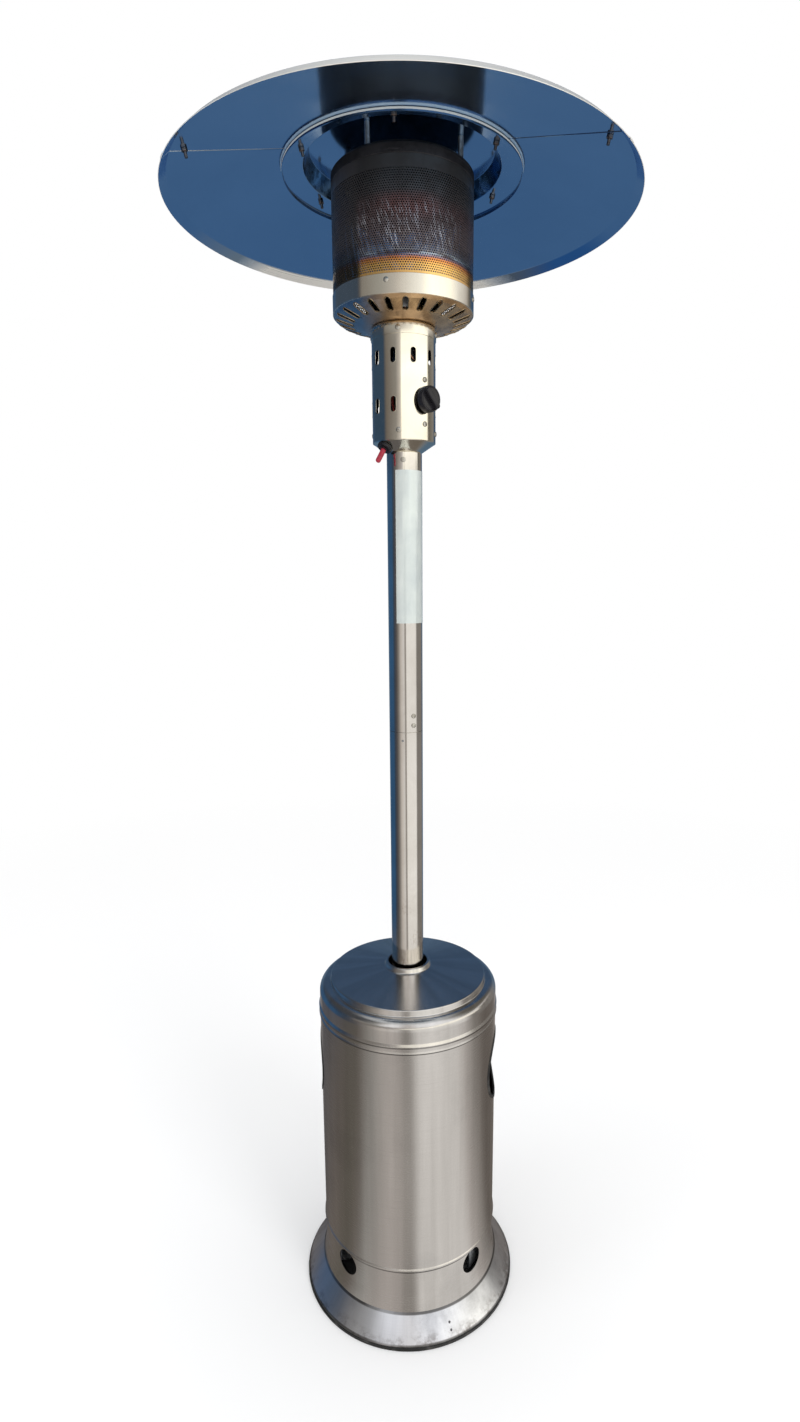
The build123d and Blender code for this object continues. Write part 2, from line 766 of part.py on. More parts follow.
with BuildPart() as stud_nuts:
    with BuildSketch(Plane.XY.offset(cap_top - cap_sheet)):
        with PolarLocations(stud_circle, stud_count, stud_azimuth):
            RegularPolygon(stud_nut_radius, 6)
            Circle(stud_thread_radius + running, mode=Mode.SUBTRACT)
    extrude(amount=-stud_nut_height)
write(stud_nuts, "stud_nuts")

wing_base = hub_centre + plate_sheet / 2
with BuildPart() as wing_nuts:
    with BuildSketch(Plane.XY.offset(wing_base)):
        with PolarLocations(stud_circle, stud_count, stud_azimuth):
            Circle(wing_hub_radius)
    extrude(amount=wing_hub_height)
    for k in range(stud_count):
        azimuth = stud_azimuth + 360 / stud_count * k
        with BuildSketch(radial_plane(azimuth, stud_circle - wing_thickness / 2, wing_base)):
            with Locations((wing_span / 4, wing_height / 2), (-wing_span / 4, wing_height / 2)):
                Ellipse(wing_span / 4, wing_height / 2)
        extrude(amount=wing_thickness)
    with BuildSketch(Plane.XY.offset(wing_base)):
        with PolarLocations(stud_circle, stud_count, stud_azimuth):
            Circle(stud_thread_radius + running)
    extrude(amount=wing_height, mode=Mode.SUBTRACT)
write(wing_nuts, "wing_nuts")

# Centre plate of the reflector: a flat hub, a steep step, a sloping ring and a turned-down edge
plate_edge_radius = plate_radius - plate_sheet / 2
plate_line = [
    (plate_edge_radius, plate_height(plate_edge_radius) - plate_flange),
    (plate_edge_radius, plate_height(plate_edge_radius)),
    (plate_bend_radius, plate_bend_height),
    (hub_radius, hub_centre),
    (0, hub_centre),
]
plate_bolt_azimuths = [plate_bolt_azimuth + 360 / plate_bolt_count * k for k in range(plate_bolt_count)]
with BuildPart() as centre_plate:
    revolve(sheet_section(plate_line, plate_sheet, plate_bend), axis=Axis.Z)
    with BuildSketch(Plane.XY.offset(hub_centre)):
        with PolarLocations(stud_circle, stud_count, stud_azimuth):
            Circle(stud_thread_radius + bolt_play)
    extrude(amount=2 * plate_sheet, both=True, mode=Mode.SUBTRACT)
    for azimuth in plate_bolt_azimuths:
        with BuildSketch(
            cone_plane(azimuth, plate_bolt_circle, plate_height(plate_bolt_circle), reflector_slope)
        ):
            Circle(panel_bolt_radius + bolt_play)
        extrude(amount=2 * plate_sheet, both=True, mode=Mode.SUBTRACT)
write(centre_plate, "centre_plate")

# Three reflector panels. The leading edge of each is joggled up to lie on the next one.
overlap_lift = reflector_sheet + slip
bend_share = cos(radians((45 - reflector_slope) / 2))
bend_lean = radians((45 + reflector_slope) / 2)


def panel_line(lift):
    """The centre line of a panel, moved out square to the sheet by lift."""
    across = lift / bend_share * sin(bend_lean)
    up = lift / bend_share * cos(bend_lean)
    rim_radius = reflector_radius - reflector_sheet / 2
    rim_height = panel_height(lip_top_radius) - (rim_radius - lip_top_radius)
    return [
        (panel_inner_radius + across, panel_height(panel_inner_radius) + up),
        (lip_top_radius + across, panel_height(lip_top_radius) + up),
        (rim_radius + across, rim_height + up),
    ]


panel_sweep = 360 / panel_count
seam_azimuths = [seam_azimuth + panel_sweep * k for k in range(panel_count)]
panel_bolt_places = [
    (azimuth + seam_overlap / 2, seam_bolt_circle, overlap_lift) for azimuth in seam_azimuths
]
for azimuth in plate_bolt_azimuths:
    on_seam = min((azimuth - start) % 360 for start in seam_azimuths) < seam_overlap
    panel_bolt_places.append((azimuth, plate_bolt_circle, overlap_lift if on_seam else 0))
panel_bolt_planes = [
    cone_plane(azimuth, radius, panel_height(radius), reflector_slope)
    for azimuth, radius, lift in panel_bolt_places
]

with BuildPart() as panel_bolt_holes:
    for plane in panel_bolt_planes:
        with BuildSketch(plane):
            Circle(panel_bolt_radius + bolt_play)
        extrude(amount=panel_bolt_length, both=True)

for number, azimuth in enumerate(seam_azimuths, 1):
    with BuildPart() as panel:
        with BuildSketch(Plane.XZ.rotated((0, 0, azimuth + seam_gap))):
            add(sheet_section(panel_line(0), reflector_sheet, panel_bend))
        revolve(axis=Axis.Z, revolution_arc=panel_sweep - seam_gap)
        with BuildSketch(Plane.XZ.rotated((0, 0, azimuth + panel_sweep - joggle))):
            add(sheet_section(panel_line(overlap_lift / 2), reflector_sheet + overlap_lift, panel_bend))
        revolve(axis=Axis.Z, revolution_arc=joggle)
        with BuildSketch(Plane.XZ.rotated((0, 0, azimuth + panel_sweep - joggle / 2))):
            add(sheet_section(panel_line(overlap_lift), reflector_sheet, panel_bend))
        revolve(axis=Axis.Z, revolution_arc=seam_overlap)
        add(panel_bolt_holes.part, mode=Mode.SUBTRACT)
    write(panel, "reflector_panel_" + str(number))

# Bolts through the seams and the centre plate, heads up, nuts below
with BuildPart() as panel_bolts:
    for plane, place in zip(panel_bolt_planes, panel_bolt_places):
        head_seat = reflector_sheet / 2 + place[2]
        with BuildSketch(plane.offset(head_seat)):
            Circle(panel_bolt_head_radius)
        extrude(amount=panel_bolt_head_height, taper=panel_bolt_head_taper)
        with BuildSketch(plane.offset(head_seat)):
            Circle(panel_bolt_radius)
        extrude(amount=-panel_bolt_length)
write(panel_bolts, "panel_bolts")

with BuildPart() as panel_nuts:
    for plane, place in zip(panel_bolt_planes, panel_bolt_places):
        under_panel = place[1] == seam_bolt_circle
        nut_seat = reflector_sheet / 2 + slip + (0 if under_panel else slip + plate_sheet)
        with BuildSketch(plane.offset(-nut_seat)):
            RegularPolygon(panel_nut_radius, 6)
            Circle(panel_bolt_radius + running, mode=Mode.SUBTRACT)
        extrude(amount=-panel_nut_height)
write(panel_nuts, "panel_nuts")

# Valve: block and barrel on a plate behind the housing, nut in front of the plate
valve_frame = radial_plane(knob_azimuth, 0, knob_height)
inner_wall = control_radius - head_sheet
plate_face = sqrt(inner_wall ** 2 - (valve_plate_width / 2) ** 2) - slip
plate_back = plate_face - valve_plate_thickness
block_front = valve_block_length - valve_back
nose_end = plate_face + valve_nut_height + nose_proud
knob_back = control_radius + knob_gap
stem_tip = knob_back + knob_recess_depth + stem_engagement
stem_root = block_front - stem_seat
valve_top = knob_height + valve_height / 2
valve_bottom = knob_height - valve_height / 2

with BuildPart() as valve_body:
    with BuildSketch(valve_frame.offset(-valve_back)):
        RectangleRounded(valve_width, valve_height, valve_width / 8)
    extrude(amount=valve_block_length)
    with BuildSketch(valve_frame.offset(block_front)):
        Circle(barrel_radius)
    extrude(amount=plate_back - slip - block_front)
    with BuildSketch(valve_frame.offset(plate_back - slip)):
        Circle(nose_radius)
    extrude(amount=nose_end - plate_back + slip)
    with BuildSketch(valve_frame.offset(stem_root - running)):
        Circle(stem_bore)
    extrude(amount=nose_end - stem_root + 1, mode=Mode.SUBTRACT)
write(valve_body, "valve_body")

plate_middle = (valve_screw_rise - valve_screw_drop) / 2
plate_length = valve_screw_rise + valve_screw_drop + 2 * valve_plate_margin
with BuildPart() as valve_bracket:
    with BuildSketch(valve_frame.offset(plate_back)):
        with Locations((0, plate_middle)):
            Rectangle(valve_plate_width, plate_length)
        Circle(nose_radius + slip, mode=Mode.SUBTRACT)
        with Locations((0, valve_screw_rise), (0, -valve_screw_drop)):
            Circle(screw_radius + bolt_play, mode=Mode.SUBTRACT)
    extrude(amount=valve_plate_thickness)
write(valve_bracket, "valve_bracket")

with BuildPart() as valve_nut:
    with BuildSketch(valve_frame.offset(plate_face)):
        RegularPolygon(valve_nut_radius, 6)
        Circle(nose_radius + running, mode=Mode.SUBTRACT)
    extrude(amount=valve_nut_height)
write(valve_nut, "valve_nut")

with BuildPart() as valve_stem:
    with BuildSketch(valve_frame.offset(stem_root)):
        Circle(stem_radius)
    extrude(amount=stem_tip - stem_root)
write(valve_stem, "valve_stem")

# Knob: a tapered cap with a slanting grip, hollow behind round the nut
grip_top_radius = knob_radius - knob_depth * tan(radians(knob_taper))
with BuildPart() as control_knob:
    with BuildSketch(valve_frame.offset(knob_back)):
        Circle(knob_radius)
    extrude(amount=knob_depth, taper=knob_taper)
    with BuildSketch(valve_frame.offset(knob_back + knob_depth / 2)):
        SlotOverall(2 * grip_top_radius - 2, grip_width, rotation=180 - grip_turn)
    extrude(amount=knob_depth / 2 + grip_height, taper=knob_taper)
    with BuildSketch(valve_frame.offset(knob_back)):
        Circle(knob_recess_radius)
    extrude(amount=knob_recess_depth, mode=Mode.SUBTRACT)
    with BuildSketch(valve_frame.offset(knob_back)):
        Circle(stem_bore)
    extrude(amount=stem_tip - knob_back + knob_travel + seat, mode=Mode.SUBTRACT)
write(control_knob, "control_knob")

# Gas inlet below the valve, for a hose that comes up inside the pole
inlet_end = valve_bottom - inlet_length
with BuildPart() as inlet_fitting:
    with BuildSketch(Plane.XY.offset(inlet_end)):
        Circle(inlet_thread_radius)
    extrude(amount=inlet_thread_length)
    with BuildSketch(Plane.XY.offset(inlet_end + inlet_thread_length)):
        RegularPolygon(inlet_hex_radius, 6)
    extrude(amount=inlet_hex_height)
    with BuildSketch(Plane.XY.offset(inlet_end + inlet_thread_length + inlet_hex_height)):
        Circle(inlet_tube_radius)
    extrude(amount=inlet_length - inlet_thread_length - inlet_hex_height)
    with BuildSketch(Plane.XY.offset(inlet_end)):
        Circle(gas_tube_bore)
    extrude(amount=inlet_length, mode=Mode.SUBTRACT)
write(inlet_fitting, "inlet_fitting")

# Tip-over switch on the back of the valve
tilt_frame = valve_frame.offset(-valve_back - tilt_depth)
tilt_place = at(knob_azimuth, -valve_back - tilt_depth / 2, knob_height + tilt_height / 2)
with BuildPart() as tilt_switch:
    with BuildSketch(tilt_frame):
        RectangleRounded(tilt_width, tilt_height, tilt_width / 12)
    extrude(amount=tilt_depth)
    with BuildSketch(Plane(origin=tilt_place)):
        Circle(tilt_boss_radius)
    extrude(amount=tilt_boss_height)
write(tilt_switch, "tilt_switch")

# Push-button igniter in the cup's cone
igniter_end = igniter_nut_height + nose_proud
igniter_flange_seat = head_sheet + igniter_flange_gap
with BuildPart() as igniter_body:
    with BuildSketch(igniter_seat.offset(-igniter_barrel_length)):
        Circle(igniter_barrel_radius)
    extrude(amount=igniter_barrel_length + igniter_end)
    with BuildSketch(igniter_seat.offset(-igniter_flange_seat)):
        Circle(igniter_flange_radius)
    extrude(amount=-igniter_flange_thickness)
    with BuildSketch(igniter_seat.offset(igniter_end)):
        Circle(button_radius + running)
    extrude(amount=-igniter_end - button_root - button_travel - seat, mode=Mode.SUBTRACT)
write(igniter_body, "igniter_body")

with BuildPart() as igniter_nut:
    with BuildSketch(igniter_seat):
        Circle(igniter_nut_radius)
        Circle(igniter_barrel_radius + running, mode=Mode.SUBTRACT)
    extrude(amount=igniter_nut_height)
    chamfer(igniter_nut.edges().filter_by(GeomType.CIRCLE).sort_by(SortBy.RADIUS)[-2:], 1)
write(igniter_nut, "igniter_nut")

with BuildPart() as igniter_button:
    with BuildSketch(igniter_seat.offset(-button_root)):
        Circle(button_radius)
    extrude(amount=button_root + button_proud)
    fillet(igniter_button.edges().sort_by(Axis.Z)[0], button_radius / 5)
write(igniter_button, "igniter_button")

# Gas line to the burner: tube, injector, mixing tube with its flange, burner
injector_bottom = control_top - injector_drop - nozzle_height - injector_height
with BuildPart() as main_gas_tube:
    wall = gas_tube_radius - gas_tube_bore
    revolve(tube_section(gas_tube_radius, wall, valve_top, injector_bottom), axis=Axis.Z)
write(main_gas_tube, "main_gas_tube")

with BuildPart() as gas_injector:
    with BuildSketch(Plane.XY.offset(injector_bottom)):
        RegularPolygon(injector_radius, 6)
    extrude(amount=injector_height)
    with BuildSketch(Plane.XY.offset(injector_bottom + injector_height)):
        Circle(nozzle_radius)
    extrude(amount=nozzle_height, taper=nozzle_taper)
write(gas_injector, "gas_injector")

bowl_floor_top = bowl_floor + bowl_sheet / 2
venturi_bottom = control_top - injector_drop + seat
venturi_top = venturi_bottom + venturi_length
with BuildPart() as venturi_tube:
    revolve(tube_section(venturi_radius, venturi_wall, venturi_bottom, venturi_top), axis=Axis.Z)
    with BuildSketch(Plane.XY.offset(bowl_floor_top)):
        Circle(venturi_flange_radius)
        Circle(venturi_radius - venturi_wall / 2, mode=Mode.SUBTRACT)
    extrude(amount=venturi_flange_thickness)
write(venturi_tube, "venturi_tube")

burner_neck_radius = venturi_radius + slip + burner_sheet / 2
burner_bottom = venturi_top - burner_rise
burner_line = [
    (burner_neck_radius, burner_bottom - burner_rise / 2),
    (burner_neck_radius, burner_bottom),
    (burner_radius - burner_sheet / 2, venturi_top),
    (burner_radius - burner_sheet / 2, venturi_top + burner_wall_height),
    (0, venturi_top + burner_wall_height),
]
with BuildPart() as burner_head:
    revolve(sheet_section(burner_line, burner_sheet, burner_bend), axis=Axis.Z)
    with BuildSketch(Plane.XY.offset(venturi_top + burner_wall_height)):
        for ring in range(1, burner_ring_count + 1):
            with PolarLocations(ring * burner_ring_pitch, 6 * ring):
                Circle(burner_hole_radius)
    extrude(amount=2 * burner_sheet, both=True, mode=Mode.SUBTRACT)
write(burner_head, "burner_head")


def beside(azimuth, radius, across, height):
    """The point at an azimuth and radius, moved level and square to that radius."""
    level = Vector(-sin(radians(azimuth)), cos(radians(azimuth)), 0)
    return at(azimuth, radius, height) + level * across


def bent_tube(route, bend, radius):
    """A round tube or lead along a bent route."""
    with BuildPart() as tube:
        with BuildLine() as path:
            FilletPolyline(*route, radius=bend)
        with BuildSketch(Plane(origin=route[0], z_dir=route[1] - route[0])):
            Circle(radius)
        sweep(path=path.line)
    return tube


# Pilot, thermocouple and spark electrode on a plate that stands in the bowl
plate_corner_radius = sqrt(pilot_radius ** 2 + (pilot_plate_width / 2) ** 2)
bowl_slope = bowl_slope_rise / (bowl_shoulder_radius - bowl_cone_radius)
plate_corner_rise = (plate_corner_radius - bowl_cone_radius) * bowl_slope + bowl_sheet * 0.65
pilot_plate_bottom = bowl_cone_height + plate_corner_rise
pilot_bottom = pilot_plate_bottom + pilot_plate_height * 0.3
pilot_frame = radial_plane(lead_azimuth, pilot_radius, pilot_plate_bottom + pilot_plate_height / 2)
with BuildPart() as pilot_bracket:
    with BuildSketch(pilot_frame):
        Rectangle(pilot_plate_width, pilot_plate_height)
    extrude(amount=-pilot_plate_thickness)
write(pilot_bracket, "pilot_bracket")

pilot_face = pilot_radius - pilot_plate_thickness - slip
pilot_place = beside(lead_azimuth, pilot_face - pilot_burner_radius, 0, pilot_bottom)
thermocouple_place = beside(
    lead_azimuth, pilot_face - thermocouple_radius, pilot_spread, pilot_bottom
)
electrode_place = beside(lead_azimuth, pilot_face - electrode_radius, -pilot_spread, pilot_bottom)
with BuildPart() as pilot_burner:
    with BuildSketch(Plane(origin=pilot_place)):
        Circle(pilot_burner_radius)
    extrude(amount=pilot_length)
    chamfer(pilot_burner.faces().sort_by(Axis.Z)[-1].edges(), pilot_burner_radius / 4)
write(pilot_burner, "pilot_burner")

with BuildPart() as thermocouple:
    with BuildSketch(Plane(origin=thermocouple_place)):
        Circle(thermocouple_radius)
    extrude(amount=pilot_length)
    fillet(thermocouple.faces().sort_by(Axis.Z)[-1].edges(), thermocouple_radius * 0.8)
write(thermocouple, "thermocouple")

with BuildPart() as spark_electrode:
    with BuildSketch(Plane(origin=electrode_place)):
        Circle(electrode_radius)
    extrude(amount=pilot_length - electrode_wire_length)
    with BuildSketch(Plane(origin=electrode_place)):
        Circle(electrode_wire_radius)
    extrude(amount=pilot_length)
write(spark_electrode, "spark_electrode")

# Leads and small tubes: up through the collar and the floor of the bowl, then out to the pilot
lead_height = bowl_floor + lead_rise
pilot_route = [
    at(knob_azimuth, block_front / 2, valve_top),
    at(knob_azimuth, block_front / 2, valve_top + 14),
    at(lead_azimuth + 18, 32, valve_top + 22),
    at(lead_azimuth, lead_hole_radius, valve_top + 36),
    at(lead_azimuth, lead_hole_radius, lead_height),
    Vector(pilot_place.X, pilot_place.Y, lead_height),
    pilot_place,
]
pilot_gas_tube = bent_tube(pilot_route, (6, 8, 8, lead_bend, lead_bend / 2), pilot_tube_radius)
write(pilot_gas_tube, "pilot_gas_tube")

tilt_exit = tilt_place + Vector(0, 0, tilt_boss_height)
thermocouple_route = [
    tilt_exit,
    tilt_exit + Vector(0, 0, 14),
    at(knob_azimuth - 230, 40, knob_height + 42),
    at(knob_azimuth - 275, 47, knob_height + 48),
    at(knob_azimuth - 320, 47, knob_height + 54),
    at(knob_azimuth - 355, 47, knob_height + 60),
    at(lead_azimuth + lead_spread + 12, 47, knob_height + 68),
    at(lead_azimuth + lead_spread, lead_hole_radius, knob_height + 82),
    at(lead_azimuth + lead_spread, lead_hole_radius, lead_height),
    Vector(thermocouple_place.X, thermocouple_place.Y, lead_height),
    thermocouple_place,
]
thermocouple_lead = bent_tube(
    thermocouple_route, (8, 14, 20, 20, 20, 10, 10, lead_bend, lead_bend / 2), capillary_radius
)
write(thermocouple_lead, "thermocouple_lead")

igniter_back = igniter_seat.origin - igniter_seat.z_dir * igniter_barrel_length
ignition_route = [
    igniter_back,
    igniter_back - igniter_seat.z_dir * 12,
    at(igniter_azimuth + 10, 34, knob_height + 2),
    at(igniter_azimuth + 30, 44, knob_height + 32),
    at(lead_azimuth - lead_spread, lead_hole_radius, knob_height + 56),
    at(lead_azimuth - lead_spread, lead_hole_radius, lead_height),
    Vector(electrode_place.X, electrode_place.Y, lead_height),
    electrode_place,
]
ignition_lead = bent_tube(ignition_route, (8, 12, 14, 14, lead_bend, lead_bend / 2), ignition_lead_radius)
write(ignition_lead, "ignition_lead")

# Cylinder housing: vented foot, side with two hand holes, top with a raised lid and a collar
foot_radius = housing_radius - slip - 1.5 * housing_sheet
flare_centre_radius = flare_radius - housing_sheet / 2
skirt_lean = cos(radians(skirt_slope))
foot_bottom = skirt_height(flare_centre_radius - housing_sheet / 2) + base_sheet / 2 / skirt_lean + seat
foot_line = [
    (flare_centre_radius, foot_bottom),
    (foot_radius, flare_height),
    (foot_radius, seam_height + foot_lap),
]
with BuildPart() as housing_foot:
    revolve(sheet_section(foot_line, housing_sheet, foot_bend), axis=Axis.Z)
    for k in range(vent_count):
        with BuildSketch(radial_plane(vent_azimuth + 360 / vent_count * k, housing_radius / 2, vent_height)):
            Circle(vent_radius)
        extrude(amount=housing_radius, mode=Mode.SUBTRACT)
write(housing_foot, "housing_foot")

hand_hole_azimuths = (hand_hole_azimuth, hand_hole_azimuth - 180)
side_top = lap_top - 2 * housing_sheet
with BuildPart() as housing_side:
    revolve(tube_section(housing_radius, housing_sheet, seam_height, side_top), axis=Axis.Z)
    for azimuth in hand_hole_azimuths:
        with BuildSketch(radial_plane(azimuth, housing_radius / 2, hand_hole_centre)):
            Ellipse(hand_hole_width / 2, hand_hole_height / 2)
        extrude(amount=housing_radius, mode=Mode.SUBTRACT)
write(housing_side, "housing_side")


def hand_hole_band(grow_outer, grow_inner, outer, inner):
    """An oval ring through the side's wall, between two radii from the axis."""
    with BuildPart() as band:
        for azimuth in hand_hole_azimuths:
            with BuildSketch(radial_plane(azimuth, housing_radius / 2, hand_hole_centre)):
                Ellipse(hand_hole_width / 2 + grow_outer, hand_hole_height / 2 + grow_outer)
                Ellipse(
                    hand_hole_width / 2 + grow_inner,
                    hand_hole_height / 2 + grow_inner,
                    mode=Mode.SUBTRACT,
                )
            extrude(amount=housing_radius)
        reach = hand_hole_height + trim_cover
        wall = tube_section(outer, outer - inner, hand_hole_centre - reach, hand_hole_centre + reach)
        revolve(wall, axis=Axis.Z, mode=Mode.INTERSECT)
    return band.part


side_inner = housing_radius - housing_sheet
with BuildPart() as hand_hole_trims:
    add(hand_hole_band(trim_cover, -trim_wall, housing_radius + trim_lip, side_inner - trim_lip))
    add(
        hand_hole_band(trim_cover + 1, -slip, housing_radius + slip, side_inner - slip),
        mode=Mode.SUBTRACT,
    )
write(hand_hole_trims, "hand_hole_trims")

lap_radius = housing_radius + slip + housing_sheet / 2
top_radius = housing_radius - housing_sheet / 2
hole_centre_radius = pole_hole_radius + housing_sheet / 2
top_line = [
    (lap_radius, lap_bottom),
    (lap_radius, lap_top),
    (top_radius, lap_top + lap_rise),
    (top_radius, shoulder_height),
    (lid_radius, shoulder_height + 2 * housing_sheet),
    (lid_radius - lid_lean, shoulder_height + lid_rise),
    (collar_radius, collar_base_height),
    (collar_top_radius, collar_top_height),
    (hole_centre_radius, collar_top_height),
    (hole_centre_radius, collar_top_height - collar_lip),
]
top_bends = (lap_bend, lap_bend, shoulder_bend, lid_bend, housing_bend, lid_bend, collar_edge, collar_edge)
with BuildPart() as housing_top:
    revolve(sheet_section(top_line, housing_sheet, top_bends), axis=Axis.Z)
write(housing_top, "housing_top")
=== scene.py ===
import json
from functools import cached_property
from math import acos, asin, atan2, ceil, cos, degrees, pi, radians, sin, tan

import bmesh
import bpy
from mathutils import Matrix, Vector

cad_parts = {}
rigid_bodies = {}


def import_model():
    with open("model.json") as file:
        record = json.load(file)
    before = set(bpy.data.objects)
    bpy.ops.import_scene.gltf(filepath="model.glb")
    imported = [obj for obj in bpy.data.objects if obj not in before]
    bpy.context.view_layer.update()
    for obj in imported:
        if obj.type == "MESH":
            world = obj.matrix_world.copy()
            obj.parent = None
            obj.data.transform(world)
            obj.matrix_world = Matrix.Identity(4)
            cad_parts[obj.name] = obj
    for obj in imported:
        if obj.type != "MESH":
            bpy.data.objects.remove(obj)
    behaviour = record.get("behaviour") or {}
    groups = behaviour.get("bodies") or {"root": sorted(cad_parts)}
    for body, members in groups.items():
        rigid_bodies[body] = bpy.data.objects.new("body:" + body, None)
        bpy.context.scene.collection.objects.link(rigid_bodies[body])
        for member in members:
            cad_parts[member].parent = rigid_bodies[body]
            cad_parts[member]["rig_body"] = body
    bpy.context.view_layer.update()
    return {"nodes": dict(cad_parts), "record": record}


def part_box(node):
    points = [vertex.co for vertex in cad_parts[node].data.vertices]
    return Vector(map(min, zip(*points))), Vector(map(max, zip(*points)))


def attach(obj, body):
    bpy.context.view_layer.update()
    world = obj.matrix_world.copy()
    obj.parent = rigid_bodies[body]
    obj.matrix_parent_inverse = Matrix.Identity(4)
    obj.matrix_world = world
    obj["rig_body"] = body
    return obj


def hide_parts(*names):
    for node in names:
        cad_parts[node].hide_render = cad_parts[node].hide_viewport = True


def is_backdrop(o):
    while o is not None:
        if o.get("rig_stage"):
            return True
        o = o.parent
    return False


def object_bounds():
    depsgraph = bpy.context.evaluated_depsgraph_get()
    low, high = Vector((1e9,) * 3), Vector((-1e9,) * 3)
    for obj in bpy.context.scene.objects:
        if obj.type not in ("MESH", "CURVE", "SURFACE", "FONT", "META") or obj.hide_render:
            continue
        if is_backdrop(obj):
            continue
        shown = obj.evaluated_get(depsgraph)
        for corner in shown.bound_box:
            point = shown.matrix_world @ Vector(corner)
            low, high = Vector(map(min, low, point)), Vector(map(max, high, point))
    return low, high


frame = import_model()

scene = bpy.context.scene
nodes = frame["nodes"]

# Sizes are in millimetres and azimuths in degrees from +X, as a sheet-metal drawing gives them.
# Meshes are made in metres. The front of the heater faces -Y.
mm = 0.001
up = Vector((0, 0, 1))


def span(node):
    """Lowest and highest point of a solid, in millimetres."""
    low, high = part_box(node)
    return low.z / mm, high.z / mm


def point_at(azimuth, radius, height):
    """The point at an azimuth, radius and height, in millimetres."""
    return Vector((radius * cos(radians(azimuth)), radius * sin(radians(azimuth)), height))


def outward(azimuth):
    """The level direction away from the pole at an azimuth."""
    return point_at(azimuth, 1, 0)


# Meshes


def new_piece(name, verts, faces, sharp=35):
    """A mesh object from points in millimetres, with soft shading that breaks at sharp edges."""
    mesh = bpy.data.meshes.new(name)
    mesh.from_pydata([tuple(Vector(v) * mm) for v in verts], [], faces)
    mesh.update()
    piece = bpy.data.objects.new(name, mesh)
    scene.collection.objects.link(piece)
    tidy_mesh(mesh, sharp)
    return piece


def tidy_mesh(mesh, sharp=35, outwards=True):
    """Merges doubles, points the faces outwards and shades smooth up to an angle."""
    work = bmesh.new()
    work.from_mesh(mesh)
    bmesh.ops.remove_doubles(work, verts=work.verts, dist=1e-6)
    bmesh.ops.dissolve_degenerate(work, edges=work.edges, dist=1e-7)
    if outwards:
        bmesh.ops.recalc_face_normals(work, faces=work.faces)
    limit = radians(sharp)
    for face in work.faces:
        face.smooth = True
    for edge in work.edges:
        edge.smooth = len(edge.link_faces) == 2 and edge.calc_face_angle(0.0) < limit
    work.to_mesh(mesh)
    work.free()
    mesh.update()


def join(name, pieces):
    """Several pieces made one, under a new name."""
    work = bmesh.new()
    for piece in pieces:
        work.from_mesh(piece.data)
    mesh = bpy.data.meshes.new(name)
    work.to_mesh(mesh)
    work.free()
    for piece in pieces:
        bpy.data.objects.remove(piece)
    joined = bpy.data.objects.new(name, mesh)
    scene.collection.objects.link(joined)
    return joined


def applied(piece):
    """The piece with its modifiers made part of its mesh."""
    depsgraph = bpy.context.evaluated_depsgraph_get()
    mesh = bpy.data.meshes.new_from_object(piece.evaluated_get(depsgraph))
    piece.modifiers.clear()
    piece.data = mesh
    return piece


def cut(piece, cutter, sharp=35):
    """Cuts the cutter's shape out of a piece."""
    tool = piece.modifiers.new("cut", "BOOLEAN")
    tool.operation = "DIFFERENCE"
    tool.solver = "EXACT"
    tool.object = cutter
    applied(piece)
    bpy.data.objects.remove(cutter)
    tidy_mesh(piece.data, sharp, outwards=False)
    return piece


def rounded_line(points, radii):
    """A line of (radius, height) points with arcs of the given radii at its inner corners."""
    corners = [Vector(p) for p in points]
    line = [corners[0]]
    for before, corner, after, radius in zip(corners, corners[1:], corners[2:], radii):
        back = (before - corner).normalized()
        ahead = (after - corner).normalized()
        half = acos(max(-1.0, min(1.0, back.dot(ahead)))) / 2
        if radius <= 0 or half > radians(89.5):
            line.append(corner)
            continue
        centre = corner + (back + ahead).normalized() * (radius / sin(half))
        first = corner + back * (radius / tan(half)) - centre
        last = corner + ahead * (radius / tan(half)) - centre
        turn = pi - 2 * half
        if first.x * last.y - first.y * last.x < 0:
            turn = -turn
        steps = max(3, ceil(abs(degrees(turn)) / 8))
        for k in range(steps + 1):
            angle = turn * k / steps
            arm = Vector((
                first.x * cos(angle) - first.y * sin(angle),
                first.x * sin(angle) + first.y * cos(angle),
            ))
            line.append(centre + arm)
    line.append(corners[-1])
    return line


def sheet_outline(points, thickness, radii):
    """Both faces of a thin sheet along a rounded line, as one closed outline."""
    line = rounded_line(points, radii)
    left, right = [], []
    for k, place in enumerate(line):
        back = (place - line[k - 1]).normalized() if k else None
        ahead = (line[k + 1] - place).normalized() if k + 1 < len(line) else None
        along = ((back or ahead) + (ahead or back)).normalized()
        square = Vector((-along.y, along.x))
        reach = thickness / 2 / max(0.5, along.dot(ahead or back))
        left.append(place + square * reach)
        right.append(place - square * reach)
    return left + right[::-1]


def skin_faces(rings, size, whole=True, closed=True):
    """Faces between rings of points, each ring of one size, right round or from first to last."""
    faces = []
    for ring in range(rings if whole else rings - 1):
        here = ring * size
        there = (ring + 1) % rings * size
        for k in range(size if closed else size - 1):
            m = (k + 1) % size
            faces.append((here + k, there + k, there + m, here + m))
    return faces


def through_columns(name, columns, whole):
    """A skin through outlines that stand at azimuths, each a list of (radius, height)."""
    size = len(columns[0][1])
    verts = [point_at(azimuth, p[0], p[1]) for azimuth, outline in columns for p in outline]
    faces = skin_faces(len(columns), size, whole)
    if not whole:
        faces.append(tuple(range(size)))
        faces.append(tuple(range((len(columns) - 1) * size, len(columns) * size))[::-1])
    return new_piece(name, verts, faces)


def spun(name, outline, segments=192):
    """A piece spun about the pole's axis from a closed outline of (radius, height)."""
    columns = [(360 * k / segments, outline) for k in range(segments)]
    return through_columns(name, columns, True)


